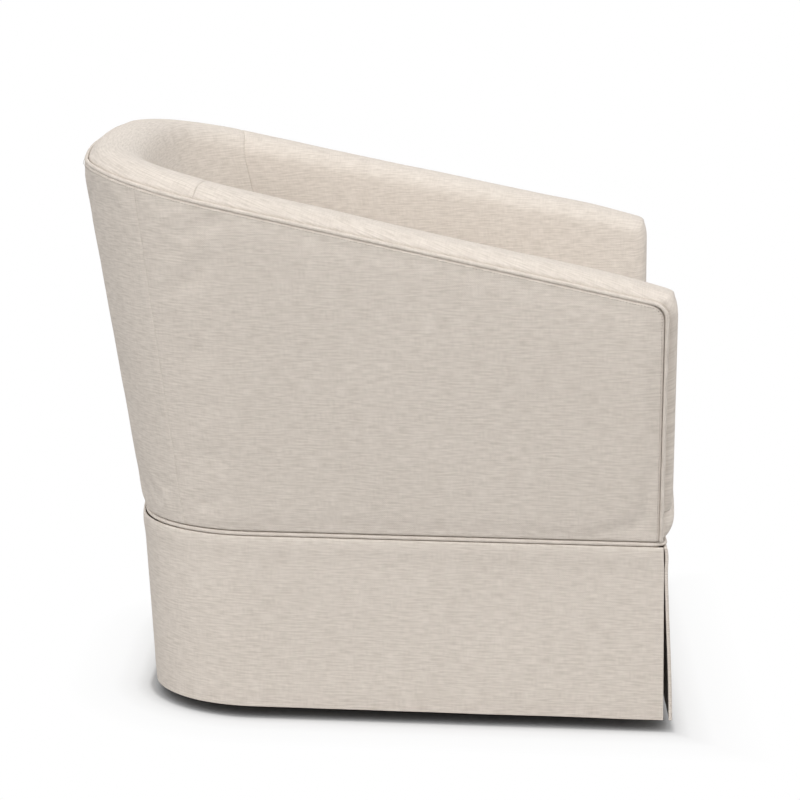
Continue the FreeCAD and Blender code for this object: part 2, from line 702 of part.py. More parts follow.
def make_fasteners():
    radius, head, thick = "Sizes.bolt_diameter / 2", "Sizes.bolt_head / 2", "Sizes.bolt_head_thick"
    nut_bottom = f"{Z_SPIDER_TOP} - Sizes.spider_thick - Sizes.nut_thick"

    def lower_bolt(label):
        tip = f"{nut_bottom} - Sizes.bolt_tip"
        points = [
            ("0", tip),
            (radius, tip),
            (radius, Z_LOWER_TOP),
            (head, Z_LOWER_TOP),
            (head, f"{Z_LOWER_TOP} + {thick}"),
            ("0", f"{Z_LOWER_TOP} + {thick}"),
        ]
        return revolved_body(label, points, {})

    def upper_bolt(label):
        tip = f"{Z_FRAME_BOTTOM} - Sizes.bolt_tip / 2"
        points = [
            ("0", f"{Z_UPPER_BOTTOM} - {thick}"),
            (head, f"{Z_UPPER_BOTTOM} - {thick}"),
            (head, Z_UPPER_BOTTOM),
            (radius, Z_UPPER_BOTTOM),
            (radius, tip),
            ("0", tip),
        ]
        return revolved_body(label, points, {})

    def nut(label):
        prism = doc.addObject("Part::Prism", label + "_hexagon")
        prism.Polygon = 6
        bind(
            prism,
            Circumradius="Sizes.nut_width / sqrt(3)",
            Height="Sizes.nut_thick",
            Placement__Base__z=nut_bottom,
        )
        bore = cylinder(
            label + "_bore",
            Radius=radius,
            Height="Sizes.nut_thick",
            Placement__Base__z=nut_bottom,
        )
        return cut(label, prism, bore)

    def tee_nut(label):
        top = Z_FRAME_BOTTOM
        points = [
            (radius, f"{top} - Sizes.mount_board_thick + Sizes.tee_nut_bottom"),
            (f"{radius} + Sizes.tee_nut_wall", f"{top} - Sizes.mount_board_thick + Sizes.tee_nut_bottom"),
            (f"{radius} + Sizes.tee_nut_wall", top),
            ("Sizes.tee_flange / 2", top),
            ("Sizes.tee_flange / 2", f"{top} + Sizes.tee_flange_thick"),
            (radius, f"{top} + Sizes.tee_flange_thick"),
        ]
        return revolved_body(label, points, {})

    four_places("lower_plate_bolts", lower_bolt)
    four_places("lower_plate_nuts", nut)
    four_places("upper_plate_bolts", upper_bolt)
    four_places("tee_nuts", tee_nut)

    screws = []
    for across in (-1, 1):
        places = ("-Sizes.screw_spread", "-Sizes.screw_near", "Sizes.screw_near", "Sizes.screw_spread")
        for index, along in enumerate(places):
            neck, top = "Sizes.screw_diameter / 2", f"{Z_FRAME_BOTTOM} - Sizes.mount_board_thick"
            screw = revolved_body(
                f"board_screw_{'left' if across < 0 else 'right'}_{index + 1}",
                [
                    ("0", f"{top} - Sizes.screw_head_thick"),
                    ("Sizes.screw_head / 2", f"{top} - Sizes.screw_head_thick"),
                    ("Sizes.screw_head / 2", top),
                    (neck, top),
                    (neck, f"{top} + Sizes.screw_length - Sizes.screw_tip"),
                    ("0", f"{top} + Sizes.screw_length"),
                ],
                {
                    "Placement__Base__x": f"{across} * Sizes.cross_rail_place",
                    "Placement__Base__y": along,
                },
            )
            screws.append(screw)
    group("board_screws", screws)
    return screws


def make_frame(screws):
    base = doc.addObject("Part::Feature", "trim_inside_posts")
    inset = POST_INNER + size("joint_gap")
    base.Shape = interior(FOOT, WAIST, inset, size("rim_front")).fuse(
        interior(WAIST, RIM, inset, size("rim_front"))
    )
    inside = doc.addObject("Part::Feature", "trim_inside_frame")
    inset = FRAME_INNER + size("joint_gap")
    inside.Shape = interior(FOOT, WAIST, inset, size("rim_front")).fuse(
        interior(WAIST, RIM, inset, size("rim_front"))
    )
    rail = box(
        "front_rail_blank",
        Length="2 * Sizes.rim_half_width",
        Width="Sizes.board_thick",
        Height=f"Sizes.front_rail_top - ({Z_FRAME_BOTTOM})",
        Placement__Base__x="-Sizes.rim_half_width",
        Placement__Base__y="-Sizes.frame_front",
        Placement__Base__z=Z_FRAME_BOTTOM,
    )
    keep(common("front_rail", rail, base))

    spring_rail = box(
        "rear_spring_rail_blank",
        Length="2 * Sizes.rim_half_width",
        Width="Sizes.board_thick",
        Height="Sizes.spring_rail_height",
        Placement__Base__x="-Sizes.rim_half_width",
        Placement__Base__y="Sizes.spring_rail_place",
        Placement__Base__z="Sizes.front_rail_top - Sizes.spring_rail_height",
    )
    keep(common("rear_spring_rail", spring_rail, inside))

    holes = [
        cylinder(
            f"screw_hole_{index + 1}",
            Radius="Sizes.screw_diameter / 2",
            Height="Sizes.screw_length + Sizes.mount_board_thick",
            Placement__Base__x=f"{screw.Label}.Placement.Base.x",
            Placement__Base__y=f"{screw.Label}.Placement.Base.y",
            Placement__Base__z=f"{Z_FRAME_BOTTOM} - Sizes.mount_board_thick",
        )
        for index, screw in enumerate(screws)
    ]
    for index, name in enumerate(("left", "right")):
        side = "-1" if name == "left" else "1"
        blank = box(
            f"cross_rail_{name}_blank",
            Length="Sizes.board_thick",
            Width="Sizes.frame_front + Sizes.rim_back",
            Height="Sizes.cross_rail_height",
            Placement__Base__x=f"{side} * Sizes.cross_rail_place - Sizes.board_thick / 2",
            Placement__Base__y="-Sizes.frame_front + Sizes.board_thick",
            Placement__Base__z=Z_FRAME_BOTTOM,
        )
        trimmed = common(f"cross_rail_{name}_trimmed", blank, inside)
        keep(cut(f"cross_rail_{name}", trimmed, fuse(f"cross_rail_{name}_holes", holes[4 * index:4 * index + 4])))

    board = square_plate(
        "mounting_board_blank",
        "Sizes.board_side",
        "Sizes.board_corner",
        "Sizes.mount_board_thick",
        "Sizes.plate_bolt_place",
        "Sizes.board_bore / 2",
        Z_UPPER_TOP,
    )
    barrels = [
        cylinder(
            f"tee_nut_hole_{index + 1}",
            Radius="Sizes.bolt_diameter / 2 + Sizes.tee_nut_wall",
            Height="Sizes.mount_board_thick",
            Placement__Base__x="Sizes.plate_bolt_place" if index in (0, 3) else "-Sizes.plate_bolt_place",
            Placement__Base__y="Sizes.plate_bolt_place" if index < 2 else "-Sizes.plate_bolt_place",
            Placement__Base__z=Z_UPPER_TOP,
        )
        for index in range(4)
    ]
    keep(cut("mounting_board", board, fuse("mounting_board_holes", barrels + holes)))

    post_back = size("frame_front") - size("post_depth")
    front = size("frame_front")
    lowest = -size("rim_board_thick")
    for name, first, last in (("left", 0, 1), ("right", 5, 6)):
        rail = wall(FOOT, WAIST, FRAME, FRAME_INNER, first, last, post_back)
        feature(f"side_rail_{name}", rail)
        foot = wall(FOOT, WAIST, FRAME, POST_INNER, first, last, front)
        stem = wall(WAIST, RIM, FRAME, POST_INNER, first, last, front)
        post = foot.fuse(stem).removeSplitter()
        feature(f"front_post_{name}", solid_of(post.cut(behind(-post_back)).cut(above_rim(lowest))))
        feature(f"arm_rail_{name}", rim_board(FRAME, RIM_BOARD_INNER, first, last, front))
    feature("back_rail", wall(FOOT, WAIST, FRAME, FRAME_INNER, 1, 5, post_back))
    feature("back_top_rail", rim_board(FRAME, RIM_BOARD_INNER, 1, 5, front))

    half = size("upright_half")
    # One in the middle of each rear corner and one in the middle of the back
    for name, middle in (("left", 1.5), ("middle", 3.0), ("right", 4.5)):
        upright = wall(WAIST, RIM, FRAME, FRAME_INNER, middle - half, middle + half, front)
        feature(f"back_upright_{name}", solid_of(upright.cut(above_rim(lowest))))

    for name, where, turn in (("left", 0, 1), ("right", 6, -1)):
        beside = FOOT.at(where, POST_INNER + size("joint_gap"), 0, post_back)
        corner = vec(beside.x, size("board_thick") - size("frame_front"), FRAME_BOTTOM)
        leg = size("block_leg")
        points = [corner, corner + vec(turn * leg, 0), corner + vec(0, leg), corner]
        blank = Part.Face(Part.makePolygon(points)).extrude(vec(0, 0, size("block_height")))
        feature(f"corner_block_{name}", solid_of(blank))

    # The dust cover lies around the mounting board.
    side = size("board_side") + 2 * size("layer_gap")
    hole = Part.makeBox(side, side, 2 * FAR, vec(-side / 2, -side / 2, -FAR))
    edges = run_edges(FOOT, FRAME, 0, 6, front)
    close = Part.LineSegment(edges[-1].Vertexes[-1].Point, edges[0].Vertexes[0].Point).toShape()
    cloth = Part.Face(Part.Wire(edges + [close])).extrude(vec(0, 0, -size("dust_thick")))
    feature("dust_cover", solid_of(cloth.cut(hole)))


def serpentine(start_y, end_y, across):
    # A sinuous spring: straight runs joined by half turns.
    turn, half = size("spring_loop"), size("spring_width") / 2 - size("spring_loop")
    count = int((end_y - start_y) / (2 * turn))
    edges, side = [], -1
    for index in range(count):
        y = start_y + 2 * turn * index
        near, far = vec(across + side * half, y, SPRING_MIDDLE), vec(across - side * half, y, SPRING_MIDDLE)
        edges.append(Part.LineSegment(near, far).toShape())
        if index < count - 1:
            bulge = far + vec(-side * turn, turn)
            edges.append(Part.Arc(far, bulge, far + vec(0, 2 * turn)).toShape())
        side = -side
    return Part.Wire(edges)


def tube(path, diameter):
    first = path.Edges[0]
    start = first.valueAt(first.FirstParameter)
    tangent = first.tangentAt(first.FirstParameter)
    if first.Orientation == "Reversed":
        start = first.valueAt(first.LastParameter)
        tangent = first.tangentAt(first.LastParameter) * -1
    circle = Part.Wire([Part.makeCircle(diameter / 2, start, tangent)])
    pipe = path.makePipeShell([circle], True, False)
    return solid_of(pipe)


def make_deck():
    front = -size("frame_front") + size("board_thick") / 2
    rear = size("spring_rail_place") + size("board_thick") / 2
    springs = []
    places = [size("spring_pitch") * index for index in range(-2, 3)]
    for index, across in enumerate(places):
        spring = doc.addObject("Part::Feature", f"spring_{index + 1}")
        spring.Shape = tube(serpentine(front, rear, across), size("spring_wire"))
        springs.append(spring)
    group("seat_springs", springs)
    last_y = front + 2 * size("spring_loop") * (int((rear - front) / (2 * size("spring_loop"))) - 1)

    clips = []
    bore = size("spring_wire") / 2 + size("rest_gap")
    height = SPRING_MIDDLE + size("spring_wire") - size("front_rail_top")
    for across in places:
        for y in (front, last_y):
            corner = vec(across - size("clip_length") / 2, y - size("clip_depth") / 2, size("front_rail_top"))
            block = Part.makeBox(size("clip_length"), size("clip_depth"), height - size("spring_wire") / 2, corner)
            groove = Part.makeCylinder(
                bore, 2 * size("clip_length"), vec(across - size("clip_length"), y, SPRING_MIDDLE), vec(1, 0, 0)
            )
            clips.append(block.cut(groove).Solids[0])
    feature("spring_clips", Part.makeCompound(clips))

    inside = interior(INNER_WAIST, INNER_RIM, size("layer_gap"), size("rim_front"))
    for label, bottom, thick in (
        ("deck_pad", DECK_BOTTOM, size("deck_pad_thick")),
        ("deck_cloth", CLOTH_BOTTOM, size("deck_cloth_thick")),
    ):
        slab = Part.makeBox(
            2 * FAR, size("frame_front") + FAR, thick, vec(-FAR, -size("frame_front"), bottom)
        )
        feature(label, solid_of(slab.common(inside)))


def make_wall_layers():
    seam, corner = size("inside_seam"), size("outside_seam")
    front = size("frame_front")
    gap = size("seam_gap")
    spans = (("outside_arm_left", 0, corner - gap), ("outside_back", corner, 6 - corner),
             ("outside_arm_right", 6 - corner + gap, 6))
    cord = tube(rim_welt_path(), size("welt_diameter") + size("welt_gap"))
    for label, first, last in spans:
        panel = wall(WAIST, RIM, 0, size("cover_thick"), first, last, front)
        feature(label, solid_of(panel.cut(cord)))
    feature("outer_liner", wall(WAIST, RIM, LINER, LINER + size("liner_thick"), 0, 6, front))

    spans = (("inside_arm_left", 0, seam - gap), ("inside_back", seam, 6 - seam),
             ("inside_arm_right", 6 - seam + gap, 6))
    low = below(size("inner_pad_bottom"))
    for label, first, last in spans:
        wires = []
        for outer, inner in ((WAIST, INNER_WAIST), (RIM, INNER_RIM)):
            wires.append(ring_wire(outer, PAD, inner, 0, first, last, front))
        pad = solid_of(Part.makeLoft(wires, True, True))
        pad = pad.cut(low).cut(rim_wedge())
        if label.endswith("left") or label.endswith("right"):
            side = label.rsplit("_", 1)[1]
            pad = pad.cut(post_clearance(side))
        feature(label, max(pad.Solids, key=lambda solid: solid.Volume))

    # An arm's roll is straight and ends in the first stretch of the rear corner.
    bend = [1, (1 + seam) / 2, seam - gap]
    for label, straight, bent in (
        ("crown_arm_left", [0, 1], bend),
        ("crown_arm_right", [5, 6], [6 - stop for stop in bend[::-1]]),
    ):
        roll = crown(straight).cut(ahead_of(-front)).fuse(crown(bent))
        feature(label, solid_of(roll.removeSplitter()))
    quarters = [0.25 * stop for stop in range(5, 20)]
    feature("crown_back", crown([seam] + quarters + [6 - seam]))


def rim_wedge():
    # The room that the boards under the rim take, with its clearance.
    gap = size("layer_gap")
    low = -size("rim_board_thick") - gap
    room = wall(WAIST, RIM, 0, RIM_BOARD_INNER + gap, 0, 6, size("rim_front"))
    return room.common(rim_block(low, size("arm_crown")))


def post_clearance(side):
    gap = size("layer_gap")
    first, last = (0, 1) if side == "left" else (5, 6)
    stem = wall(WAIST, RIM, 0, POST_INNER + gap, first, last, AHEAD)
    return stem.cut(behind(gap + size("post_depth") - size("frame_front")))


def crown(stops):
    # The padded roll over the rim: an arched section carried along the outline.
    base = size("moving_gap")
    outer, inner = WELT_CLEAR, size("arm_thick")
    wires = []
    for where in stops:
        back = min(1.0, max(0.0, 3 - abs(where - 3) - size("crown_swell")))
        height = size("arm_crown") + (size("back_crown") - size("arm_crown")) * back
        ends = [RIM.at(where, inset, base, size("rim_front")) for inset in (outer, inner)]
        top = RIM.at(where, (outer + inner) / 2, height, size("rim_front"))
        line = Part.LineSegment(ends[1], ends[0]).toShape()
        arc = Part.Arc(ends[0], top, ends[1]).toShape()
        wires.append(Part.Wire([line, arc]))
    return solid_of(Part.makeLoft(wires, True, False))


def make_fronts():
    # The arm fronts: padded faces that bulge between their welts.
    gap = size("layer_gap")
    back = -size("frame_front") - gap
    for name, where in (("left", 0), ("right", 6)):
        bottom = BORDER_TOP + gap

        def outline_at(y, draw):
            front = -y
            share = (bottom + draw - size("waist_height")) / (
                RIM.at(where, 0, 0, front).z - size("waist_height")
            )
            outer_low = WAIST.at(where, WELT_CLEAR + draw, 0, front)
            outer_high = RIM.at(where, WELT_CLEAR + draw, 0, front)
            inner_low = WAIST.at(where, size("arm_thick") - gap - draw, 0, front)
            inner_high = RIM.at(where, size("arm_thick") - gap - draw, 0, front)
            low = [point_low + (point_high - point_low) * share
                   for point_low, point_high in ((outer_low, outer_high), (inner_low, inner_high))]
            top = RIM.at(where, (WELT_CLEAR + size("arm_thick")) / 2, 0, front)
            top = top + vec(0, 0, size("arm_crown") - draw)
            flat = [vec(point.x, y, point.z) for point in (low[0], outer_high, top, inner_high, low[1])]
            return Part.Wire([
                Part.LineSegment(flat[0], flat[1]).toShape(),
                Part.Arc(flat[1], flat[2], flat[3]).toShape(),
                Part.LineSegment(flat[3], flat[4]).toShape(),
                Part.LineSegment(flat[4], flat[0]).toShape(),
            ])

        wires = [
            outline_at(back, 0),
            outline_at(-size("frame_front") - size("arm_face_edge"), 0),
            outline_at(-size("frame_front") - size("arm_face_shoulder"), size("arm_face_shoulder_draw")),
            outline_at(-size("frame_front") - size("arm_face_bulge"), size("arm_face_draw")),
        ]
        feature(f"arm_front_{name}", solid_of(Part.makeLoft(wires, True, True)))

    middle = (BORDER_BOTTOM + BORDER_TOP) / 2
    edge, bulge = -size("frame_front") - size("border_edge"), -size("frame_front") - size("border_bulge")
    profile = [vec(-FAR, back, BORDER_BOTTOM), vec(-FAR, edge, BORDER_BOTTOM),
               vec(-FAR, edge, BORDER_TOP), vec(-FAR, back, BORDER_TOP)]
    face = Part.Face(Part.Wire([
        Part.LineSegment(profile[0], profile[1]).toShape(),
        Part.Arc(profile[1], vec(-FAR, bulge, middle), profile[2]).toShape(),
        Part.LineSegment(profile[2], profile[3]).toShape(),
        Part.LineSegment(profile[3], profile[0]).toShape(),
    ]))
    long = face.extrude(vec(2 * FAR, 0, 0))
    feature("front_border", solid_of(long.common(interior(WAIST, RIM, WELT_CLEAR, AHEAD))))


def rounded(points, radii):
    # A path of straight runs with tangent arcs at its inner points.
    edges, here = [], points[0]
    for before, corner, after, radius in zip(points, points[1:], points[2:], radii):
        one, two = (before - corner).normalize(), (after - corner).normalize()
        half = one.getAngle(two) / 2
        back = radius / math.tan(half)
        start, end = corner + one * back, corner + two * back
        bisector = (one + two).normalize()
        centre = corner + bisector * (radius / math.sin(half))
        edges.append(Part.LineSegment(here, start).toShape())
        edges.append(Part.Arc(start, centre - bisector * radius, end).toShape())
        here = end
    edges.append(Part.LineSegment(here, points[-1]).toShape())
    return edges


def rim_welt_path():
    # Up one arm's front edge, round the rim and down the other arm's front edge.
    radius = size("welt_diameter") / 2
    up = radius + size("welt_gap") / 2
    ahead = size("frame_front") + up
    inset = radius + size("rest_gap")
    legs = []
    for where in (0, 6):
        knee = RIM.at(where, inset, up, ahead)
        foot = WAIST.at(where, inset, 0, ahead)
        share = (BORDER_BOTTOM - foot.z) / (knee.z - foot.z)
        foot = foot + (knee - foot) * share
        rear = RIM.at(1 if where == 0 else 5, inset, up, ahead)
        points = [foot, knee, rear] if where == 0 else [rear, knee, foot]
        legs.append(rounded(points, [size("welt_turn")]))
    along = run_edges(RIM, inset, 1, 5, ahead, up)
    return Part.Wire(legs[0] + along + legs[1])


def make_welts():
    feature("rim_welt", tube(rim_welt_path(), size("welt_diameter")))
    radius = size("welt_diameter") / 2
    inset = radius + size("rest_gap")
    ahead = size("frame_front") + radius + size("welt_gap") / 2
    waist = size("waist_height") - radius - size("welt_gap")
    level = Level(level_outline(inset, inset), waist)
    sides = run_edges(level, 0, 1, 5, ahead)
    ends = [level.at(where, 0, 0, size("skirt_front_place")) for where in (0, 6)]
    starts = [level.at(where, 0, 0, ahead) for where in (1, 5)]
    middle = vec(0, ends[0].y, waist)
    left = rounded([middle, ends[0], starts[0]], [size("skirt_welt_turn")])
    right = rounded([starts[1], ends[1], middle], [size("skirt_welt_turn")])
    feature("skirt_welt", tube(Part.Wire(left + sides + right), size("welt_diameter")))


def make_skirt():
    top = size("waist_height") - size("welt_diameter") - 2 * size("welt_gap")
    thick, slit, rear = size("skirt_thick"), size("slit"), size("back_slit_place")
    high = Level(level_outline(0, 0), top)
    low = Level(level_outline(size("hem_side_inset"), size("hem_back_inset")), size("hem_height"))
    front = size("skirt_front_place")
    fronts = ((low, front + size("hem_front_kick")), (high, front))
    half_back = size("waist_sweep") * (WAIST.outline.back_angle - math.pi / 2)
    share = slit / 2 / half_back
    for label, first, last in (
        ("skirt_side_left", 0, rear - share),
        ("skirt_back", rear + share, 6 - rear - share),
        ("skirt_side_right", 6 - rear + share, 6),
    ):
        wires = [
            ring_wire(level, 0, level, thick, first, last, place - thick - slit) for level, place in fronts
        ]
        feature(label, solid_of(Part.makeLoft(wires, True, True)))
    points = []
    for level, place in fronts:
        ends = [level.at(where, 0, 0, place) for where in (0, 6)]
        back = [vec(point.x, point.y + thick, point.z) for point in ends[::-1]]
        points.append(Part.makePolygon(ends + back + ends[:1]))
    feature("skirt_front", solid_of(Part.makeLoft(points, True, True)))


def cushion_wire(inset, height, outline):
    level = Level(outline, height)
    front = size("cushion_front")
    starts = [level.at(where, inset, 0, front - inset) for where in (1, 5)]
    corners = [level.at(where, inset, 0, front - inset) for where in (0, 6)]
    middle = vec(0, corners[0].y, height)
    radius = size("cushion_corner") - inset
    left = rounded([middle, corners[0], starts[0]], [radius])
    right = rounded([starts[1], corners[1], middle], [radius])
    return Part.Wire(left + run_edges(level, inset, 1, 5, front - inset) + right)


def make_cushion():
    gap = size("cushion_gap")
    share = (CUSHION_BOTTOM - size("waist_height")) / (size("rim_height") - size("waist_height"))
    low = INNER_WAIST.at(0, gap, 0, size("cushion_front"))
    high = INNER_RIM.at(0, gap, 0, size("cushion_front"))
    rise = (CUSHION_BOTTOM - size("waist_height")) / (high.z - size("waist_height"))
    half_width = -(low.x + (high.x - low.x) * rise)
    back = INNER_WAIST.at(3, gap).y + (INNER_RIM.at(3, gap).y - INNER_WAIST.at(3, gap).y) * share
    outline = Outline(
        half_width, size("cushion_front"), back, size("inner_corner") - gap, size("cushion_sweep"),
        size("waist_flare"),
    )
    draw, belly, under = size("cushion_draw"), size("cushion_belly"), size("cushion_under")
    seam_height = under + size("cushion_boxing")
    levels = [
        (size("cushion_foot"), 0.0),
        (draw, under),
        (0.0, under + belly),
        (0.0, seam_height - belly),
        (draw, seam_height),
    ]
    for step in (1, 2, 3):
        angle = math.radians(size("cushion_crown_end")) * step / 3
        inward = size("cushion_crown_reach") * (1 - math.cos(angle))
        levels.append((draw + inward, seam_height + size("cushion_crown") * math.sin(angle)))

    def stack(inset, lift, lower):
        wires = [
            cushion_wire(draw_in + inset, CUSHION_BOTTOM + up * lower + lift, outline)
            for draw_in, up in levels
        ]
        return solid_of(Part.makeLoft(wires, True, True))

    whole = stack(0, 0, 1)
    total = levels[-1][1]
    skin, air = size("case_thick"), size("core_gap")
    hollow = stack(skin, skin, (total - 2 * skin) / total)
    core = stack(skin + air, skin + air, (total - 2 * (skin + air)) / total)
    case = whole.cut(hollow)
    cords = []
    for up in (under, seam_height):
        path = cushion_wire(draw - size("cushion_welt_lift"), CUSHION_BOTTOM + up, outline)
        cord = tube(path, size("cushion_welt"))
        case = case.cut(cord)
        cords.append(cord)
    feature("seat_cushion_case", solid_of(case))
    feature("seat_cushion_core", core)
    feature("seat_cushion_welts", Part.makeCompound(cords))

    # The zip runs along the back of the boxing, on the arc of the cushion's back edge.
    zip_middle = CUSHION_BOTTOM + under + size("cushion_boxing") / 2
    centre = outline.sweep_centre
    face = size("cushion_sweep") + size("zip_gap")
    half_angle = math.degrees(size("zip_half") / face)

    def arc_piece(inner, outer, height, bottom, first, last):
        angles = [math.radians(90 + turn) for turn in (first, (first + last) / 2, last)]
        foot = centre + vec(0, 0, bottom)
        near = [foot + vec(math.cos(angle), math.sin(angle)) * inner for angle in angles]
        far = [foot + vec(math.cos(angle), math.sin(angle)) * outer for angle in angles]
        wire = Part.Wire([
            Part.Arc(*near).toShape(),
            Part.LineSegment(near[2], far[2]).toShape(),
            Part.Arc(*far[::-1]).toShape(),
            Part.LineSegment(far[0], near[0]).toShape(),
        ])
        return Part.Face(wire).extrude(vec(0, 0, height))

    tape = arc_piece(face, face + size("zip_thick"), size("zip_width"),
                     zip_middle - size("zip_width") / 2, -half_angle, half_angle)
    feature("cushion_zip", solid_of(tape))
    slider_in = face + size("zip_thick") + size("moving_gap")
    width = math.degrees(size("slider_length") / slider_in)
    start = half_angle - 2 * width
    print("zip axis", round(centre.x, 3), round(centre.y, 3), "slider from", round(start, 4), "to",
          round(start + width, 4), "of", round(half_angle, 4), "degrees")
    slider = arc_piece(slider_in, slider_in + size("slider_thick"), size("slider_height"),
                       zip_middle - size("slider_height") / 2, start, start + width)
    feature("zip_slider", solid_of(slider))


make_swivel_base()
board_screws = make_fasteners()
make_frame(board_screws)
make_deck()
make_wall_layers()
make_fronts()
make_welts()
make_skirt()
make_cushion()


def report_problems():
    doc.recompute()
    troubles = []
    for thing in doc.Objects:
        for word in ("Invalid", "Error"):
            if word in thing.State:
                troubles.append(f"{thing.Label} is {word}")
    for piece in PIECES:
        if piece.Shape.isNull():
            troubles.append(f"{piece.Label} is empty")
        elif not piece.Shape.isValid():
            troubles.append(f"{piece.Label} isn't valid")
    if troubles:
        raise RuntimeError("; ".join(troubles))


report_problems()
os.makedirs("parts", exist_ok=True)
for piece in PIECES:
    solids = len(piece.Shape.Solids)
    print(piece.Label, solids, "solids", round(piece.Shape.Volume), "mm3")
    piece.Shape.exportStep(os.path.join("parts", piece.Label + ".step"))
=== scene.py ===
import json
import math

import bpy
import numpy as np
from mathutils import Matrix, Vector, noise


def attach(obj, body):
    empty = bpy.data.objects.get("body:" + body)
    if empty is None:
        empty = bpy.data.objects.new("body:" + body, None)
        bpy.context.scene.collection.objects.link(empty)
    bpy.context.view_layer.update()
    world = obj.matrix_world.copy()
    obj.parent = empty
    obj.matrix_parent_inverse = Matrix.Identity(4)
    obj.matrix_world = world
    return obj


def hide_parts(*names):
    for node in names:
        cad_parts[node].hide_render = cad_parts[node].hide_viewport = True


# The chair stands on Z = 0, turns about the Z axis and faces -Y. Lengths are in metres, angles in degrees.

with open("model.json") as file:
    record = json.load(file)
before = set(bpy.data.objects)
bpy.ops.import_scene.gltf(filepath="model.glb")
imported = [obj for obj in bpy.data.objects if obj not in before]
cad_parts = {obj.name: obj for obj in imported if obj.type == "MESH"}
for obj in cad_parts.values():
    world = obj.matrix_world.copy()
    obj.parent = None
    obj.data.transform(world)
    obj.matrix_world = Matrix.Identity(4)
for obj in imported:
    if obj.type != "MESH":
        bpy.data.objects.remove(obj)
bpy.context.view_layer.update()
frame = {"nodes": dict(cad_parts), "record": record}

# The barrel's outline: at the rim, in the rim's own sloping plane, and at the skirt's welt
chair = {
    "rimHeight": 0.715,
    "rimBack": 0.386,
    "rimFront": 0.370,
    "rimHalfWidth": 0.382,
    "rimCorner": 0.206,
    "rimSweep": 1.560,
    "rimFlare": 3.3,
    "rimFall": 11.9,
    "waistHeight": 0.250,
    "waistBack": 0.313,
    "waistHalfWidth": 0.346,
    "waistCorner": 0.165,
    "waistSweep": 1.600,
    "waistFlare": 5.0,
    "armThick": 0.087,
    "armThickLow": 0.077,
    "backThickLow": 0.134,
    "innerCorner": 0.092,
    "innerSweep": 1.5,
    "frameFront": 0.367,
}


def smooth(t):
    t = min(max(t, 0.0), 1.0)
    return t * t * (3 - 2 * t)


def roundOff(distance, radius):
    # 0 at an edge and 1 from radius inwards, as a quarter circle.
    t = min(max(distance / radius, 0.0), 1.0)
    return math.sqrt(1 - (1 - t) ** 2)


def bump(distance, width):
    return math.exp(-((distance / width) ** 2))


def ripple(x, y, z):
    return noise.noise(Vector((x, y, z)))


def runsAlong(path):
    # How far each point of a path lies from its start.
    runs = [0.0]
    for one, two in zip(path, path[1:]):
        runs.append(runs[-1] + (two - one).length)
    return runs


def runsOver(rows):
    # The same for the rows of an array.
    return np.concatenate([[0.0], np.cumsum(np.linalg.norm(np.diff(rows, axis=0), axis=1))])


class Outline:
    # Half of a barrel: a straight side, a rear corner and the gently swept back, mirrored past place 3.

    def __init__(self, halfWidth, front, back, corner, sweep, flare):
        lean = math.radians(flare)
        self.corner = corner
        self.sweep = sweep
        self.along = Vector((math.sin(lean), math.cos(lean)))
        self.inward = Vector((math.cos(lean), -math.sin(lean)))
        self.start = Vector((-halfWidth, -front))
        self.sweepCentre = Vector((0.0, back - sweep))
        reach = self.start + self.inward * corner - self.sweepCentre
        half = reach.dot(self.along)
        run = math.sqrt(half**2 - reach.dot(reach) + (sweep - corner) ** 2) - half
        self.cornerCentre = self.sweepCentre + reach + self.along * run
        outward = self.cornerCentre - self.sweepCentre
        self.sideAngle = math.atan2(-self.inward.y, -self.inward.x) % (2 * math.pi)
        self.backAngle = math.atan2(outward.y, outward.x)

    def place(self, where, inset, front):
        along = 6 - where if where > 3 else where
        if along <= 1:
            near = self.start + self.inward * inset
            near = near + self.along * ((-front - near.y) / self.along.y)
            far = self.cornerCentre - self.inward * (self.corner - inset)
            point = near + (far - near) * along
        elif along <= 2:
            angle = self.sideAngle + (self.backAngle - self.sideAngle) * (along - 1)
            point = self.cornerCentre + Vector((math.cos(angle), math.sin(angle))) * (self.corner - inset)
        else:
            angle = self.backAngle + (math.pi / 2 - self.backAngle) * (along - 2)
            point = self.sweepCentre + Vector((math.cos(angle), math.sin(angle))) * (self.sweep - inset)
        return Vector((-point.x, point.y)) if where > 3 else point


class Level:
    # An outline laid at a height, level or falling towards the front as the rim does.

    def __init__(self, outline, height, fall=0.0):
        self.outline = outline
        self.height = height
        self.fall = math.radians(fall)

    def at(self, where, inset=0.0, up=0.0, front=None):
        back, reach = chair["rimBack"], chair["rimFront"] if front is None else front
        rise, level = math.sin(self.fall), math.cos(self.fall)
        point = self.outline.place(where, inset, (back + reach) / level - back)
        run = point.y - back
        return Vector((point.x, back + run * level - up * rise, self.height + run * rise + up * level))


def rimOutline(inset):
    level = math.cos(math.radians(chair["rimFall"]))
    front = (chair["rimBack"] + chair["rimFront"]) / level - chair["rimBack"]
    return Outline(
        chair["rimHalfWidth"] - inset / math.cos(math.radians(chair["rimFlare"])),
        front,
        chair["rimBack"] - inset,
        chair["rimCorner"] - inset,
        chair["rimSweep"] - inset,
        chair["rimFlare"],
    )


def levelOutline(sideInset, backInset, corner):
    return Outline(
        chair["waistHalfWidth"] - sideInset,
        chair["rimFront"],
        chair["waistBack"] - backInset,
        corner,
        chair["waistSweep"] - backInset,
        chair["waistFlare"],
    )


rim = Level(rimOutline(0.0), chair["rimHeight"], chair["rimFall"])
waist = Level(levelOutline(0.0, 0.0, chair["waistCorner"]), chair["waistHeight"])
innerRim = Level(rimOutline(chair["armThick"]), chair["rimHeight"], chair["rimFall"])
innerOutline = levelOutline(chair["armThickLow"], chair["backThickLow"], chair["innerCorner"])
innerWaist = Level(innerOutline, chair["waistHeight"])


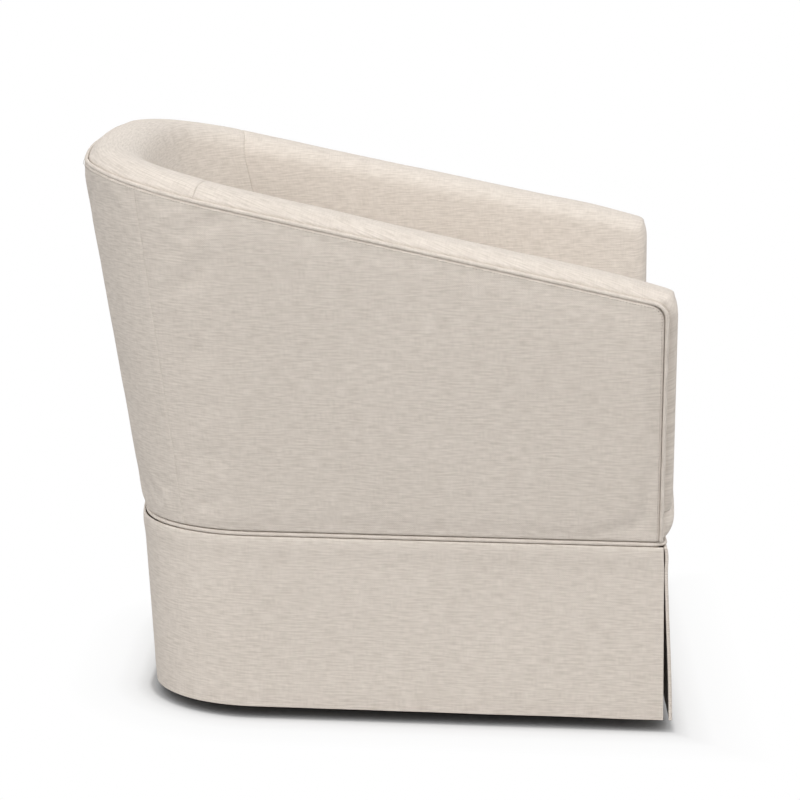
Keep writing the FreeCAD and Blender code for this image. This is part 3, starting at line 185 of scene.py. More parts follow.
def sided(where, side):
    # The same place along the outline on the left arm, side -1, or on the right arm, side 1.
    return where if side < 0 else 6 - where


def spacing(length, step, start=(0.0,), end=(0.0,)):
    # Distances from 0 to length in even steps, with the finer ones given for the two ends.
    low, high = start[-1], length - end[-1]
    count = max(1, round((high - low) / step))
    middle = [low + (high - low) * index / count for index in range(count + 1)]
    return list(start[:-1]) + middle + [length - gap for gap in reversed(end[:-1])]


def sharesOf(length, step, start=(0.0,), end=(0.0,)):
    return [gap / length for gap in spacing(length, step, start, end)]


def walk(at, first, last, count=400):
    # Places along an outline between two of them, and how far each one is from the first.
    places = [first + (last - first) * index / count for index in range(count + 1)]
    return places, runsAlong([at(where) for where in places])


def placesFor(at, first, last, step, start=(0.0,), end=(0.0,)):
    places, lengths = walk(at, first, last)
    gaps = spacing(float(lengths[-1]), step, start, end)
    return [float(np.interp(gap, lengths, places)) for gap in gaps], gaps


# Materials


class Graph:
    # The nodes of a material or of the world. Each method adds a node and gives its output.

    def __init__(self, owner):
        owner.use_nodes = True
        self.nodes, self.links = owner.node_tree.nodes, owner.node_tree.links

    def feed(self, node, inputs):
        for name, value in inputs.items():
            if isinstance(value, bpy.types.NodeSocket):
                self.links.new(value, node.inputs[name])
            else:
                node.inputs[name].default_value = value

    def add(self, kind, output, inputs=None, **settings):
        node = self.nodes.new("ShaderNode" + kind)
        for name, value in settings.items():
            setattr(node, name, value)
        self.feed(node, inputs or {})
        return node.outputs[output]

    def noise(self, vector, scale, detail=2.0, rough=0.5):
        if isinstance(scale, tuple):
            vector, scale = self.add("Mapping", "Vector", {"Vector": vector, "Scale": scale}), 1.0
        inputs = {"Vector": vector, "Scale": scale, "Detail": detail, "Roughness": rough}
        return self.add("TexNoise", "Fac", inputs)

    def ramp(self, source, *stops):
        node = self.nodes.new("ShaderNodeValToRGB")
        elements = node.color_ramp.elements
        for index, (place, colour) in enumerate(stops):
            element = elements[index] if index < 2 else elements.new(place)
            element.position = place
            element.color = (*threefold(colour), 1.0)
        self.links.new(source, node.inputs["Fac"])
        return node.outputs["Color"]

    def math(self, operation, *values):
        return self.add("Math", "Value", dict(enumerate(values)), operation=operation)

    def multiply(self, one, two):
        inputs = {"Factor": 1.0, "A": one, "B": two}
        return self.add("Mix", "Result", inputs, data_type="RGBA", blend_type="MULTIPLY")

    def split(self, vector):
        node = self.nodes.new("ShaderNodeSeparateXYZ")
        self.links.new(vector, node.inputs["Vector"])
        return node.outputs

    def bump(self, height, strength, distance):
        return self.add("Bump", "Normal", {"Height": height, "Strength": strength, "Distance": distance})


def threefold(value):
    return value if isinstance(value, tuple) else (value,) * 3


def newMaterial(name):
    material = bpy.data.materials.new(name)
    graph = Graph(material)
    return material, graph, graph.nodes["Principled BSDF"]


linenLook = {
    "thread": 0.0014,
    "wander": (40.0, 40.0, 1.0),
    "drift": 4.0,
    "pale": (0.712, 0.648, 0.582),
    "middle": (0.655, 0.592, 0.529),
    "dark": (0.578, 0.518, 0.458),
    "weftSlubs": (50.0, 480.0, 1.0),
    "warpSlubs": (576.0, 60.0, 1.0),
    "clouds": (5.0, 7.0, 1.0),
    "relief": 0.0005,
}


def linenMaterial(name):
    # Plain weave with slubs, laid out in the piece's own UV map, which is in metres.
    material, graph, shader = newMaterial(name)
    uv = graph.add("UVMap", "UV", uv_map="weave")

    # Threads wander a little.
    drift = graph.math("MULTIPLY", graph.noise(uv, linenLook["wander"]), linenLook["drift"])
    parts, waves = graph.split(uv), []
    for axis in ("X", "Y"):
        turn = graph.math("MULTIPLY", parts[axis], math.pi / linenLook["thread"])
        waves.append(graph.math("SINE", graph.math("ADD", turn, drift)))
    weave = graph.math("MULTIPLY", *waves)

    # Slubs: thick places in the weft, and fainter ones in the warp
    weft = graph.noise(uv, linenLook["weftSlubs"], 2.0, 0.55)
    warp = graph.noise(uv, linenLook["warpSlubs"])
    cloud = graph.noise(uv, linenLook["clouds"])
    lifted = graph.math("ADD", graph.math("MULTIPLY", weave, 0.5), 0.5)
    shades = ((0.32, linenLook["dark"]), (0.50, linenLook["middle"]), (0.66, linenLook["pale"]))
    colour = graph.ramp(weft, *shades)
    colour = graph.multiply(colour, graph.ramp(warp, (0.34, (0.93, 0.928, 0.925)), (0.60, 1.0)))
    colour = graph.multiply(colour, graph.ramp(cloud, (0.30, (0.972, 0.97, 0.968)), (0.70, 1.0)))
    colour = graph.multiply(colour, graph.ramp(lifted, (0.0, 0.94), (0.6, 1.0)))

    height = graph.math("ADD", graph.math("MULTIPLY", weave, 0.6), weft)
    height = graph.math("ADD", height, graph.math("MULTIPLY", warp, 0.7))
    graph.feed(shader, {"Base Color": colour, "Normal": graph.bump(height, 0.30, linenLook["relief"])})
    shader.inputs["Roughness"].default_value = 0.92
    shader.inputs["Specular IOR Level"].default_value = 0.2
    shader.inputs["Sheen Weight"].default_value = 0.10
    shader.inputs["Sheen Roughness"].default_value = 0.5
    return material


def plainMaterial(slot, dark, pale, scale, roughness, metallic=0.0):
    # A hard or plain material with its own mottling and wear, laid out in object coordinates.
    material, graph, shader = newMaterial(slot[0] + slot.title().replace("_", "")[1:])
    where = graph.add("TexCoord", "Object")
    large = graph.noise(where, threefold(scale), 4.0, 0.6)
    rough = graph.ramp(large, (0.3, roughness * 0.85), (0.7, min(roughness * 1.15, 1.0)))
    relief = graph.bump(graph.noise(where, 900.0), 0.25, 0.0002)
    colour = graph.ramp(large, (0.32, dark), (0.68, pale))
    graph.feed(shader, {"Base Color": colour, "Roughness": rough, "Normal": relief})
    shader.inputs["Metallic"].default_value = metallic
    return material


# Dark and pale colour, scale of the mottling, roughness, and 1.0 for metal
plainLooks = {
    "black_paint": (0.012, 0.03, 14.0, 0.45),
    "glide_nylon": (0.03, 0.06, 30.0, 0.5),
    "zinc_steel": ((0.42, 0.42, 0.40), (0.66, 0.66, 0.63), 35.0, 0.34, 1.0),
    "bearing_steel": (0.5, 0.72, 60.0, 0.16, 1.0),
    "cage_nylon": ((0.55, 0.53, 0.47), (0.68, 0.66, 0.6), 30.0, 0.5),
    "spring_steel": ((0.10, 0.10, 0.11), (0.22, 0.22, 0.24), 40.0, 0.38, 1.0),
    "beech": ((0.42, 0.27, 0.15), (0.60, 0.42, 0.26), (60.0, 60.0, 6.0), 0.6),
    "plywood": ((0.45, 0.32, 0.18), (0.64, 0.48, 0.30), (5.0, 60.0, 300.0), 0.62),
    "fibreboard": ((0.22, 0.16, 0.10), (0.32, 0.24, 0.16), 80.0, 0.85),
    "dust_cloth": (0.012, 0.035, 400.0, 0.95),
    "foam": ((0.62, 0.56, 0.42), (0.74, 0.68, 0.54), 220.0, 0.9),
    "deck_lining": ((0.40, 0.36, 0.30), (0.54, 0.49, 0.42), (260.0, 40.0, 40.0), 0.93),
    "zip_tape": ((0.30, 0.26, 0.21), (0.44, 0.39, 0.33), (600.0, 60.0, 60.0), 0.85),
    "thread": ((0.20, 0.16, 0.13), (0.34, 0.29, 0.24), 300.0, 0.85),
}
finishes = {"linen": linenMaterial("linen")}
finishes.update({slot: plainMaterial(slot, *look) for slot, look in plainLooks.items()})
print("materials made")


# Meshes


def emptyGrids(wide, high):
    # Room for points, and for each point's rise, U and V
    return np.zeros((wide, high, 3)), *(np.zeros((wide, high)) for _ in range(3))


def normalsOf(points, flip):
    result = np.cross(np.gradient(points, axis=0), np.gradient(points, axis=1))
    result /= np.maximum(np.linalg.norm(result, axis=2, keepdims=True), 1e-12)
    return -result if flip else result


def raised(base, lift, flip):
    return base + normalsOf(base, flip) * lift[:, :, None]


def uvList(u, v):
    return [(float(a), float(b)) for a, b in zip(u.reshape(-1), v.reshape(-1))]


def meshObject(name, vertices, faces, uv):
    mesh = bpy.data.meshes.new(name)
    mesh.from_pydata([tuple(point) for point in vertices], [], faces)
    layer = mesh.uv_layers.new(name="weave")
    for loop in mesh.loops:
        layer.data[loop.index].uv = uv[loop.vertex_index]
    obj = bpy.data.objects.new(name, mesh)
    bpy.context.scene.collection.objects.link(obj)
    return obj


def gridFaces(wide, high, flip, start=0):
    faces = []
    for column in range(wide - 1):
        for row in range(high - 1):
            one = start + column * high + row
            face = (one, one + high, one + high + 1, one + 1)
            faces.append(face[::-1] if flip else face)
    return faces


def ringFaces(rows, count, closed=False):
    # Faces between rings of count points, one ring after another, and back to the first one if closed.
    faces = []
    for row in range(rows if closed else rows - 1):
        near, far = row * count, (row + 1) % rows * count
        for index in range(count):
            beside = (index + 1) % count
            faces.append((near + index, near + beside, far + beside, far + index))
    if not closed:
        faces.append(tuple(range(count))[::-1])
        faces.append(tuple(range((rows - 1) * count, rows * count)))
    return faces


def keepSharp(mesh, ring):
    # The edges of a cover stay where they are when its mesh is subdivided.
    pairs = {frozenset(pair) for pair in zip(ring, ring[1:] + ring[:1])}
    crease = mesh.attributes.new("crease_edge", "FLOAT", "EDGE")
    for edge in mesh.edges:
        if frozenset(edge.vertices) in pairs:
            crease.data[edge.index].value = 1.0


def closedPad(name, front, back, u, v, flip):
    # A closed form between a front grid and a back grid.
    wide, high = front.shape[:2]
    total = wide * high
    vertices = np.concatenate([front.reshape(-1, 3), back.reshape(-1, 3)])
    faces = gridFaces(wide, high, flip) + gridFaces(wide, high, not flip, total)
    ring = [column * high for column in range(wide)]
    ring += [(wide - 1) * high + row for row in range(1, high)]
    ring += [column * high + high - 1 for column in range(wide - 2, -1, -1)]
    ring += [row for row in range(high - 2, 0, -1)]
    for one, two in zip(ring, ring[1:] + ring[:1]):
        face = (one, one + total, two + total, two)
        faces.append(face[::-1] if flip else face)
    obj = meshObject(name, vertices, faces, uvList(u, v) * 2)
    keepSharp(obj.data, ring)
    return obj


def makeActive(obj):
    bpy.ops.object.select_all(action="DESELECT")
    obj.select_set(True)
    bpy.context.view_layer.objects.active = obj


def turnOutwards(obj):
    makeActive(obj)
    bpy.ops.object.mode_set(mode="EDIT")
    bpy.ops.mesh.select_all(action="SELECT")
    bpy.ops.mesh.normals_make_consistent(inside=False)
    bpy.ops.object.mode_set(mode="OBJECT")


def finishPiece(obj, body, slotName, nodes, levels=1):
    obj.data.materials.append(finishes[slotName])
    makeActive(obj)
    if levels:
        modifier = obj.modifiers.new("subdivision", "SUBSURF")
        modifier.levels = levels
        modifier.render_levels = levels
        bpy.ops.object.modifier_apply(modifier=modifier.name)
    bpy.ops.object.shade_smooth()
    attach(obj, body)
    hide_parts(*nodes)


def tube(name, path, radius, sides=12):
    # A cord with capped ends, its frame carried along the path.
    tangents = []
    for index in range(len(path)):
        one, two = path[max(index - 1, 0)], path[min(index + 1, len(path) - 1)]
        tangents.append((two - one).normalized())
    up = Vector((1.0, 0.0, 0.0)) if abs(tangents[0].z) > 0.9 else Vector((0.0, 0.0, 1.0))
    normal = (up - tangents[0] * up.dot(tangents[0])).normalized()
    vertices, uv, length = [], [], 0.0
    for index, (point, tangent) in enumerate(zip(path, tangents)):
        normal = (normal - tangent * normal.dot(tangent)).normalized()
        other = tangent.cross(normal)
        if index:
            length += (point - path[index - 1]).length
        for side in range(sides):
            angle = 2 * math.pi * side / sides
            swell = 1 + 0.05 * ripple(point.x * 60 + side * 0.3, point.y * 60, point.z * 60)
            vertices.append(point + (normal * math.cos(angle) + other * math.sin(angle)) * radius * swell)
            uv.append((length, radius * angle))
    return meshObject(name, vertices, ringFaces(len(path), sides), uv)


# Cloth under pressure: covers fill out between their seams.

cloth = {
    "frames": 20,
    "pressure": 4.0,
    "quality": 5,
    "mass": 0.3,
    "stretch": 40.0,
    "shear": 20.0,
    "bend": 2.0,
    "slack": 0.006,
}


def settle(obj, pinned, cap):
    # No point ends further than the cap from where it was.
    scene = bpy.context.scene
    rest = np.array([vertex.co for vertex in obj.data.vertices])
    group = obj.vertex_groups.new(name="seams")
    group.add([int(index) for index in pinned], 1.0, "REPLACE")
    modifier = obj.modifiers.new("cloth", "CLOTH")
    settings = modifier.settings
    settings.quality = cloth["quality"]
    settings.mass = cloth["mass"]
    settings.tension_stiffness = cloth["stretch"]
    settings.compression_stiffness = cloth["stretch"]
    settings.shear_stiffness = cloth["shear"]
    settings.bending_stiffness = cloth["bend"]
    settings.vertex_group_mass = "seams"
    settings.shrink_min = -cloth["slack"]
    settings.use_pressure = True
    settings.uniform_pressure_force = cloth["pressure"]
    settings.effector_weights.gravity = 0.0
    modifier.point_cache.frame_start = 1
    modifier.point_cache.frame_end = cloth["frames"]
    for step in range(1, cloth["frames"] + 1):
        scene.frame_set(step)
    settled = obj.evaluated_get(bpy.context.evaluated_depsgraph_get())
    move = np.array([vertex.co for vertex in settled.data.vertices]) - rest
    obj.modifiers.remove(modifier)
    scene.frame_set(1)
    far = np.maximum(np.linalg.norm(move, axis=1), 1e-9)
    move *= np.minimum(1.0, cap / far)[:, None]
    for vertex, place in zip(obj.data.vertices, rest + move):
        vertex.co = place


# The outside covers

cover = {
    "thick": 0.0062,
    "lean": 0.0030,
    "backLean": 0.0008,
    "edgeRadius": 0.0045,
    "edgeDip": 0.0026,
    "seamDip": 0.0007,
    "seamPlace": 1.415,
    "seamGap": 0.0001,
    "creasePlace": 0.004,
    "creaseDip": 0.0011,
    "tuckDip": 0.0010,
    "frontEdge": 0.3668,
    "turn": 0.0171,
    "wave": 0.0010,
    "step": 0.007,
    "edgeSteps": (0.0, 0.0008, 0.0018, 0.0032, 0.0052, 0.009),
    "held": 0.012,
    "cap": 0.0016,
}


def outsidePanel(name, first, last, side, node, seams):
    front, turn = cover["frontEdge"], cover["turn"]
    places, lengths = walk(lambda at: (waist.at(at, 0, 0, front) + rim.at(at, 0, 0, front)) / 2, first, last)
    long = float(lengths[-1])
    tall = (rim.at(first) - waist.at(first)).length
    gaps = spacing(long, cover["step"], cover["edgeSteps"], cover["edgeSteps"])
    shares = sharesOf(tall, cover["step"], cover["edgeSteps"], cover["edgeSteps"])
    base, lift, u, v = emptyGrids(len(gaps), len(shares))
    freeRun = np.zeros(lift.shape)
    for i, gap in enumerate(gaps):
        where = float(np.interp(gap, lengths, places))
        high = (rim.at(where) - waist.at(where)).length
        ends = (gap, long - gap)
        for j, share in enumerate(shares):
            ahead, below = gap, (1 - share) * high
            if not seams[0] and max(ahead, below) < turn:
                # The arm's cover is rounded at its upper front corner.
                one, two = turn - ahead, turn - below
                shrink = max(one, two) / max(math.hypot(one, two), 1e-9)
                ahead, below = turn - one * shrink, turn - two * shrink
            where = float(np.interp(ahead, lengths, places))
            rise = 1 - below / high
            place = waist.at(where, 0, 0, front).lerp(rim.at(where, 0, 0, front), rise)
            edge = min((1 - share) * high, share * high)
            free = min(edge, *ends)
            swell = cover["backLean" if seams[0] else "lean"] * math.sin(math.pi * rise**1.6)
            swell += cover["wave"] * ripple(place.x * 5, place.y * 5, place.z * 7)
            swell += 0.25 * cover["wave"] * ripple(place.x * 22, place.y * 22, place.z * 30)
            lift[i, j] = swell * smooth(free / 0.03)
            lift[i, j] -= cover["edgeDip"] * (1 - roundOff(edge, cover["edgeRadius"]))
            for end, isSeam in zip(ends, seams):
                dip = cover["seamDip" if isSeam else "edgeDip"]
                lift[i, j] -= dip * (1 - roundOff(end, cover["edgeRadius"]))
                if isSeam:
                    # Tucks run down from the rim beside the seam.
                    crease = bump(end - cover["creasePlace"], 0.0014) * math.exp(-below / 0.022)
                    lift[i, j] -= cover["creaseDip"] * crease
                    lift[i, j] -= cover["tuckDip"] * bump(end, 0.002) * math.exp(-below / 0.05)
            base[i, j] = place
            freeRun[i, j] = free
            u[i, j], v[i, j] = gap * side, place.z
    flip = side < 0
    back = base - normalsOf(base, flip) * cover["thick"]
    obj = closedPad(name, raised(base, lift, flip), back, u, v, flip)
    steady = freeRun.reshape(-1) < cover["held"]
    pinned = [index for index in range(2 * len(steady)) if index >= len(steady) or steady[index]]
    settle(obj, pinned, cover["cap"])
    finishPiece(obj, "seat", "linen", [node])


for side, label in ((-1, "left"), (1, "right")):
    places = [sided(where, side) for where in (0.0, cover["seamPlace"])]
    outsidePanel(f"outside_arm_{label}_cover", *places, side, f"outside_arm_{label}", (False, True))
seam = cover["seamPlace"] + cover["seamGap"]
outsidePanel("outside_back_cover", seam, 6 - seam, -1, "outside_back", (True, True))
print("outside covers made")


# Inside arms and back: one cover from the deck up the inner face and over the rim to the welt

inside = {
    "bottom": 0.318,
    "foot": 0.290,
    "thick": 0.007,
    "outerInset": 0.0059,
    "armCrown": 0.0226,
    "backCrown": 0.0266,
    "innerFullness": 2.0,
    "outerFullness": 2.7,
    "frontFall": 0.0030,
    "seamPlace": 1.12,
    "seamGap": 0.00004,
    "seamRadius": 0.0035,
    "seamDip": 0.0008,
    "bulge": 0.0172,
    "ridge": 0.0016,
    "ridgePlace": 0.0075,
    "ridgeWidth": 0.0034,
    "trough": 0.0011,
    "troughPlace": 0.0145,
    "troughWidth": 0.003,
    "weltDip": 0.0022,
    "wave": 0.0012,
    "fineWave": 0.0004,
    "frontRound": 0.020,
    "turn": 0.020,
    "mitreLead": 0.0045,
    "mitreRun": 0.025,
    "mitreDip": 0.0010,
    "step": 0.0068,
    "backStep": 0.0072,
    "archStep": 0.006,
    "archStart": (0.0, 0.003, 0.007, 0.012),
    "archEnd": (0.0, 0.0012, 0.0028, 0.0048, 0.0070, 0.0095, 0.0125, 0.016, 0.021),
    "faceHeight": 0.30,
    "faceStart": (0.0, 0.003, 0.008),
    "faceEnd": (0.0, 0.004, 0.009, 0.015),
    "frontSteps": (0.0, 0.003, 0.007, 0.012, 0.018, 0.025),
    "seamSteps": (0.0, 0.0015, 0.0035, 0.006, 0.010),
    "bendRounds": 6,
    "bendReach": 4,
}
turnDrop = inside["turn"] * (1 - math.sqrt(0.5))


def crownHeight(where):
    along = min(where, 6 - where)
    share = smooth((along - 0.5) / 0.9)
    fall = inside["frontFall"] * (1 - smooth(along / 0.14))
    return inside["armCrown"] + (inside["backCrown"] - inside["armCrown"]) * share - fall


def archProfile(height):
    # Points over the rim from the inner edge to the welt, and how far each is along the arch.
    half = (chair["armThick"] - inside["outerInset"]) / 2
    angles = np.linspace(math.pi, 0.0, 121)
    power = np.where(np.cos(angles) > 0, 2 / inside["outerFullness"], 2 / inside["innerFullness"])
    across = np.sign(np.cos(angles)) * np.abs(np.cos(angles)) ** power * half
    rise = height * np.abs(np.sin(angles)) ** power
    return across, rise, runsOver(np.stack([across, rise], axis=1))


def archAt(where, share, front):
    # A point over the rim: share 0 at the inner edge, 1 at the welt. Also its distance from the welt.
    across, rise, runs = archProfile(crownHeight(where))
    run = share * runs[-1]
    inset = (chair["armThick"] + inside["outerInset"]) / 2 - float(np.interp(run, runs, across))
    return rim.at(where, inset, float(np.interp(run, runs, rise)), front), runs[-1] - run


def insideGrid(places, gaps, front, seamEnds):
    # The base surface, and how far each point rises from it.
    archLength = float(archProfile(inside["armCrown"])[2][-1])
    arches = sharesOf(archLength, inside["archStep"], inside["archStart"], inside["archEnd"])
    rises = sharesOf(inside["faceHeight"], inside["step"], inside["faceStart"], inside["faceEnd"])
    rows = len(rises)
    high = rows + len(arches) - 1
    base, lift, u, v = emptyGrids(len(places), high)
    for i, where in enumerate(places):
        low, top = innerWaist.at(where, 0, 0, front), innerRim.at(where, 0, 0, front)
        start = low.lerp(top, (inside["bottom"] - low.z) / (top.z - low.z))
        for j, rise in enumerate(rises):
            base[i, j] = start.lerp(top, rise)
        for j, share in enumerate(arches[1:], rows):
            base[i, j], left = archAt(where, share, front)
            lift[i, j] = inside["ridge"] * bump(left - inside["ridgePlace"], inside["ridgeWidth"])
            lift[i, j] -= inside["trough"] * bump(left - inside["troughPlace"], inside["troughWidth"])
            lift[i, j] -= inside["weltDip"] * (1 - roundOff(left, inside["seamRadius"]))
        seam = min(gaps[i] if seamEnds[0] else 1.0, gaps[-1] - gaps[i] if seamEnds[1] else 1.0)
        dip = inside["seamDip"] * (1 - roundOff(seam, inside["seamRadius"]))
        for j in range(high):
            x, y, z = base[i, j]
            wave = inside["wave"] * ripple(x * 6, y * 6 + 9, z * 6)
            wave += inside["fineWave"] * ripple(x * 20, y * 20, z * 20 + 5)
            lift[i, j] += wave * smooth(min(j, high - 1 - j) / 4) * smooth(seam / 0.03) - dip
        u[i] = gaps[i]
    bend, reach = rows - 1, inside["bendReach"]
    for _ in range(inside["bendRounds"]):
        near, far = bend - reach, bend + reach + 1
        neighbours = base[:, near - 1:far - 1] + base[:, near + 1:far + 1]
        base[:, near:far] = base[:, near:far] * 0.5 + neighbours * 0.25
    v[:, 1:] = np.cumsum(np.linalg.norm(np.diff(base, axis=1), axis=2), axis=1)
    return base, lift, u, v, rows


def frontPatch(base, rows, side):
    # The arm's front: the cover drawn round the inner edge and over the front to the welt.
    inner, top = base[0, :rows], base[0, rows - 1:].copy()
    crown = top[:, 2].copy()
    widths, heights = runsOver(top), runsOver(inner)
    shares, rises = widths / widths[-1], heights / heights[-1]
    reach, turn, inset = chair["frameFront"], inside["turn"], inside["outerInset"]
    low, high = (level.at(sided(0, side), inset, 0, reach) for level in (waist, rim))
    foot = low.lerp(high, (inside["foot"] - low.z) / (high.z - low.z))
    tip = high - (high - low).normalized() * turnDrop
    outer = np.zeros((rows, 3))
    for j, rise in enumerate(rises):
        point = foot.lerp(tip, rise)
        over = max(turn - (high - point).length, 0.0)
        outer[j] = (point.x, point.y + turn - math.sqrt(max(turn**2 - over**2, 0.0)), point.z)

    def forward(s, drop, rise):
        across = roundOff(s * widths[-1], 0.022) * roundOff((1 - s) * widths[-1], 0.012)
        upright = roundOff(drop, inside["frontRound"]) * roundOff((rise + 0.02) * heights[-1], 0.012)
        return inside["bulge"] * (across * upright)

    for k, s in enumerate(shares):
        drop = inside["mitreLead"] * math.sin(math.pi * min(s / 0.9, 1.0))
        top[k][2] -= drop
        top[k][1] -= forward(s, drop, 1.0)
    top[-1] = outer[-1]
    bottom = np.array([inner[0] + (outer[0] - inner[0]) * s for s in shares])
    bottom[:, 2] = [inner[0][2] + (outer[0][2] - inner[0][2]) * smooth((s - 0.35) / 0.65) for s in shares]
    count = len(top)
    patch = np.zeros((count, rows, 3))
    for k, s in enumerate(shares):
        for j, t in enumerate(rises):
            point = (1 - t) * bottom[k] + t * top[k] + (1 - s) * inner[j] + s * outer[j]
            point -= (1 - t) * ((1 - s) * inner[0] + s * outer[0]) + t * ((1 - s) * top[0] + s * top[-1])
            if 0 < k < count - 1 and j < rows - 1:
                point[1] = -reach - forward(s, crown[k] - point[2], t)
            patch[k, j] = point
    return patch, top


def thicken(obj):
    modifier = obj.modifiers.new("thickness", "SOLIDIFY")
    modifier.thickness = inside["thick"]
    modifier.offset = -1.0
    modifier.edge_crease_outer = 1.0
    makeActive(obj)
    bpy.ops.object.modifier_apply(modifier=modifier.name)


def leanForward(base, gaps, rows, top):
    # The rolled top leans forward into the mitre at the front, and rounds down to the welt's corner.
    turn, run = inside["turn"], inside["mitreRun"]
    shift = top - base[0, rows - 1:]
    for i, gap in enumerate(gaps):
        if gap < run:
            base[i, rows - 1:] += shift * (1 - gap / run) ** 2
        if 0 < gap < turn:
            over = turn - gap - turnDrop * (1 - gap / turn) ** 2
            drop = turn - math.sqrt(max(turn**2 - over**2, 0.0)) - turnDrop * (1 - gap / run) ** 2
            for k in range(4):
                base[i, -1 - k][2] -= max(drop, 0.0) * (1 - k / 4)


def insideArm(side, label):
    first, last = sided(0.0, side), sided(inside["seamPlace"] - inside["seamGap"], side)
    front, flip = chair["frameFront"], side > 0
    steps = (inside["step"], inside["frontSteps"], inside["seamSteps"])
    places, gaps = placesFor(lambda where: innerRim.at(where, 0, 0, front), first, last, *steps)
    base, lift, u, v, rows = insideGrid(places, gaps, front, (False, True))
    patch, top = frontPatch(base, rows, side)
    leanForward(base, gaps, rows, top)
    lift[0] = 0.0
    lift[0, rows + 3:] -= inside["mitreDip"]
    surface = raised(base, lift, flip)
    patch[:, -1] = surface[0, rows - 1:]
    patch[0] = surface[0, :rows]

    wide, high = surface.shape[:2]
    vertices = list(surface.reshape(-1, 3))
    uv = uvList(u, v)
    faces = gridFaces(wide, high, flip)
    index = {}
    count = patch.shape[0]
    for k in range(count):
        for j in range(rows):
            if k == 0:
                index[k, j] = j
            elif j == rows - 1:
                index[k, j] = rows - 1 + k
            else:
                index[k, j] = len(vertices)
                vertices.append(patch[k, j])
                across = float(np.linalg.norm(patch[k, j][[0, 1]] - patch[0, j][[0, 1]]))
                uv.append((-across, float(v[0, j])))
    for k in range(count - 1):
        for j in range(rows - 1):
            face = (index[k, j], index[k, j + 1], index[k + 1, j + 1], index[k + 1, j])
            faces.append(face[::-1] if flip else face)
    obj = meshObject(f"inside_arm_{label}_cover", vertices, faces, uv)
    thicken(obj)
    finishPiece(obj, "seat", "linen", [f"inside_arm_{label}", f"crown_arm_{label}", f"arm_front_{label}"])


def insideBack():
    first, fine = inside["seamPlace"] + inside["seamGap"], inside["seamSteps"]
    places, gaps = placesFor(innerRim.at, first, 6 - first, inside["backStep"], fine, fine)
    base, lift, u, v, rows = insideGrid(places, gaps, None, (True, True))
    surface = raised(base, lift, False)
    faces = gridFaces(*surface.shape[:2], False)
    obj = meshObject("inside_back_cover", list(surface.reshape(-1, 3)), faces, uvList(u, v))
    thicken(obj)
    finishPiece(obj, "seat", "linen", ["inside_back", "crown_back"])


insideArm(-1, "left")
insideArm(1, "right")
insideBack()
print("inside covers made")


# The border across the front, below the cushion

border = {
    "bottom": 0.2512,
    "top": 0.3262,
    "bulge": 0.021,
    "endInset": 0.0062,
    "endDrop": 0.040,
    "lowRound": 0.036,
    "highRound": 0.022,
    "endRound": 0.016,
    "wave": 0.0012,
    "riseSteps": (0.0, 0.0012, 0.003, 0.006),
}


def frontBorder():
    reach = chair["frameFront"]
    low, high = (level.at(0, border["endInset"], 0, reach) for level in (waist, rim))
    half = -low.lerp(high, 0.08).x
    across = spacing(2 * half, 0.0075, cover["edgeSteps"], cover["edgeSteps"])
    rises = sharesOf(border["top"] - border["bottom"], 0.0055, border["riseSteps"], border["riseSteps"])
    front, _, u, v = emptyGrids(len(across), len(rises))
    for i, gap in enumerate(across):
        end = min(gap, 2 * half - gap)
        tall = border["top"] - border["endDrop"] * (1 - smooth((end - 0.004) / 0.052)) - border["bottom"]
        for j, rise in enumerate(rises):
            z = border["bottom"] + tall * rise
            swell = roundOff(rise * tall, border["lowRound"])
            swell *= roundOff((1 - rise) * tall, border["highRound"])
            swell *= border["bulge"] * roundOff(end, border["endRound"])
            edge = min(rise, 1 - rise) * tall
            wave = border["wave"] * ripple(gap * 9, 3.0, z * 14) * smooth(edge / 0.01) * smooth(end / 0.02)
            front[i, j] = (gap - half, -reach - swell - wave, z)
            u[i, j], v[i, j] = gap, z
    back = front.copy()
    back[:, :, 1] = -reach + 0.0002
    obj = closedPad("front_border_cover", front, back, u, v, False)
    finishPiece(obj, "seat", "linen", ["front_border"])


frontBorder()
print("border made")


# Welts

welt = {
    "radius": 0.00275,
    "gap": 0.0004,
    "rest": 0.00015,
    "turn": 0.020,
    "foot": 0.2502,
    "skirtFront": 0.376,
    "skirtTurn": 0.0165,
    "step": 0.004,
    "stitchPitch": 0.0038,
    "stitch": 0.0024,
    "stitchDrop": 0.0026,
    "threadRadius": 0.00035,
    "straightRun": 0.15,
}


def arcPoints(before, corner, after, radius, count=9):
    one, two = (before - corner).normalized(), (after - corner).normalized()
    half = one.angle(two) / 2
    centre = corner + (one + two).normalized() * (radius / math.sin(half))
    first, last = ((corner + leg * (radius / math.tan(half)) - centre).normalized() for leg in (one, two))
    return [centre + first.slerp(last, index / count) * radius for index in range(count + 1)]


def resample(path, runs, marks):
    points = np.array([tuple(point) for point in path])
    return np.stack([np.interp(marks, runs, points[:, axis]) for axis in range(3)], axis=1)


def evenly(path, step):
    runs = runsAlong(path)
    return [Vector(point) for point in resample(path, runs, spacing(float(runs[-1]), step))]


def rimPath(inset, up, turn):
    # Up an arm's front, round its corner, round the rim and down the other arm's front
    ahead = chair["frameFront"] + up
    legs = []
    for place, beside in ((0, 1), (6, 5)):
        knee = rim.at(place, inset, up, ahead)
        foot = waist.at(place, inset, 0, ahead)
        foot = foot.lerp(knee, (welt["foot"] - foot.z) / (knee.z - foot.z))
        legs.append([foot] + arcPoints(foot, knee, rim.at(beside, inset, up, ahead), turn))
    along = [rim.at(1 + 4 * index / 200, inset, up, ahead) for index in range(201)]
    return legs[0] + along + legs[1][::-1]


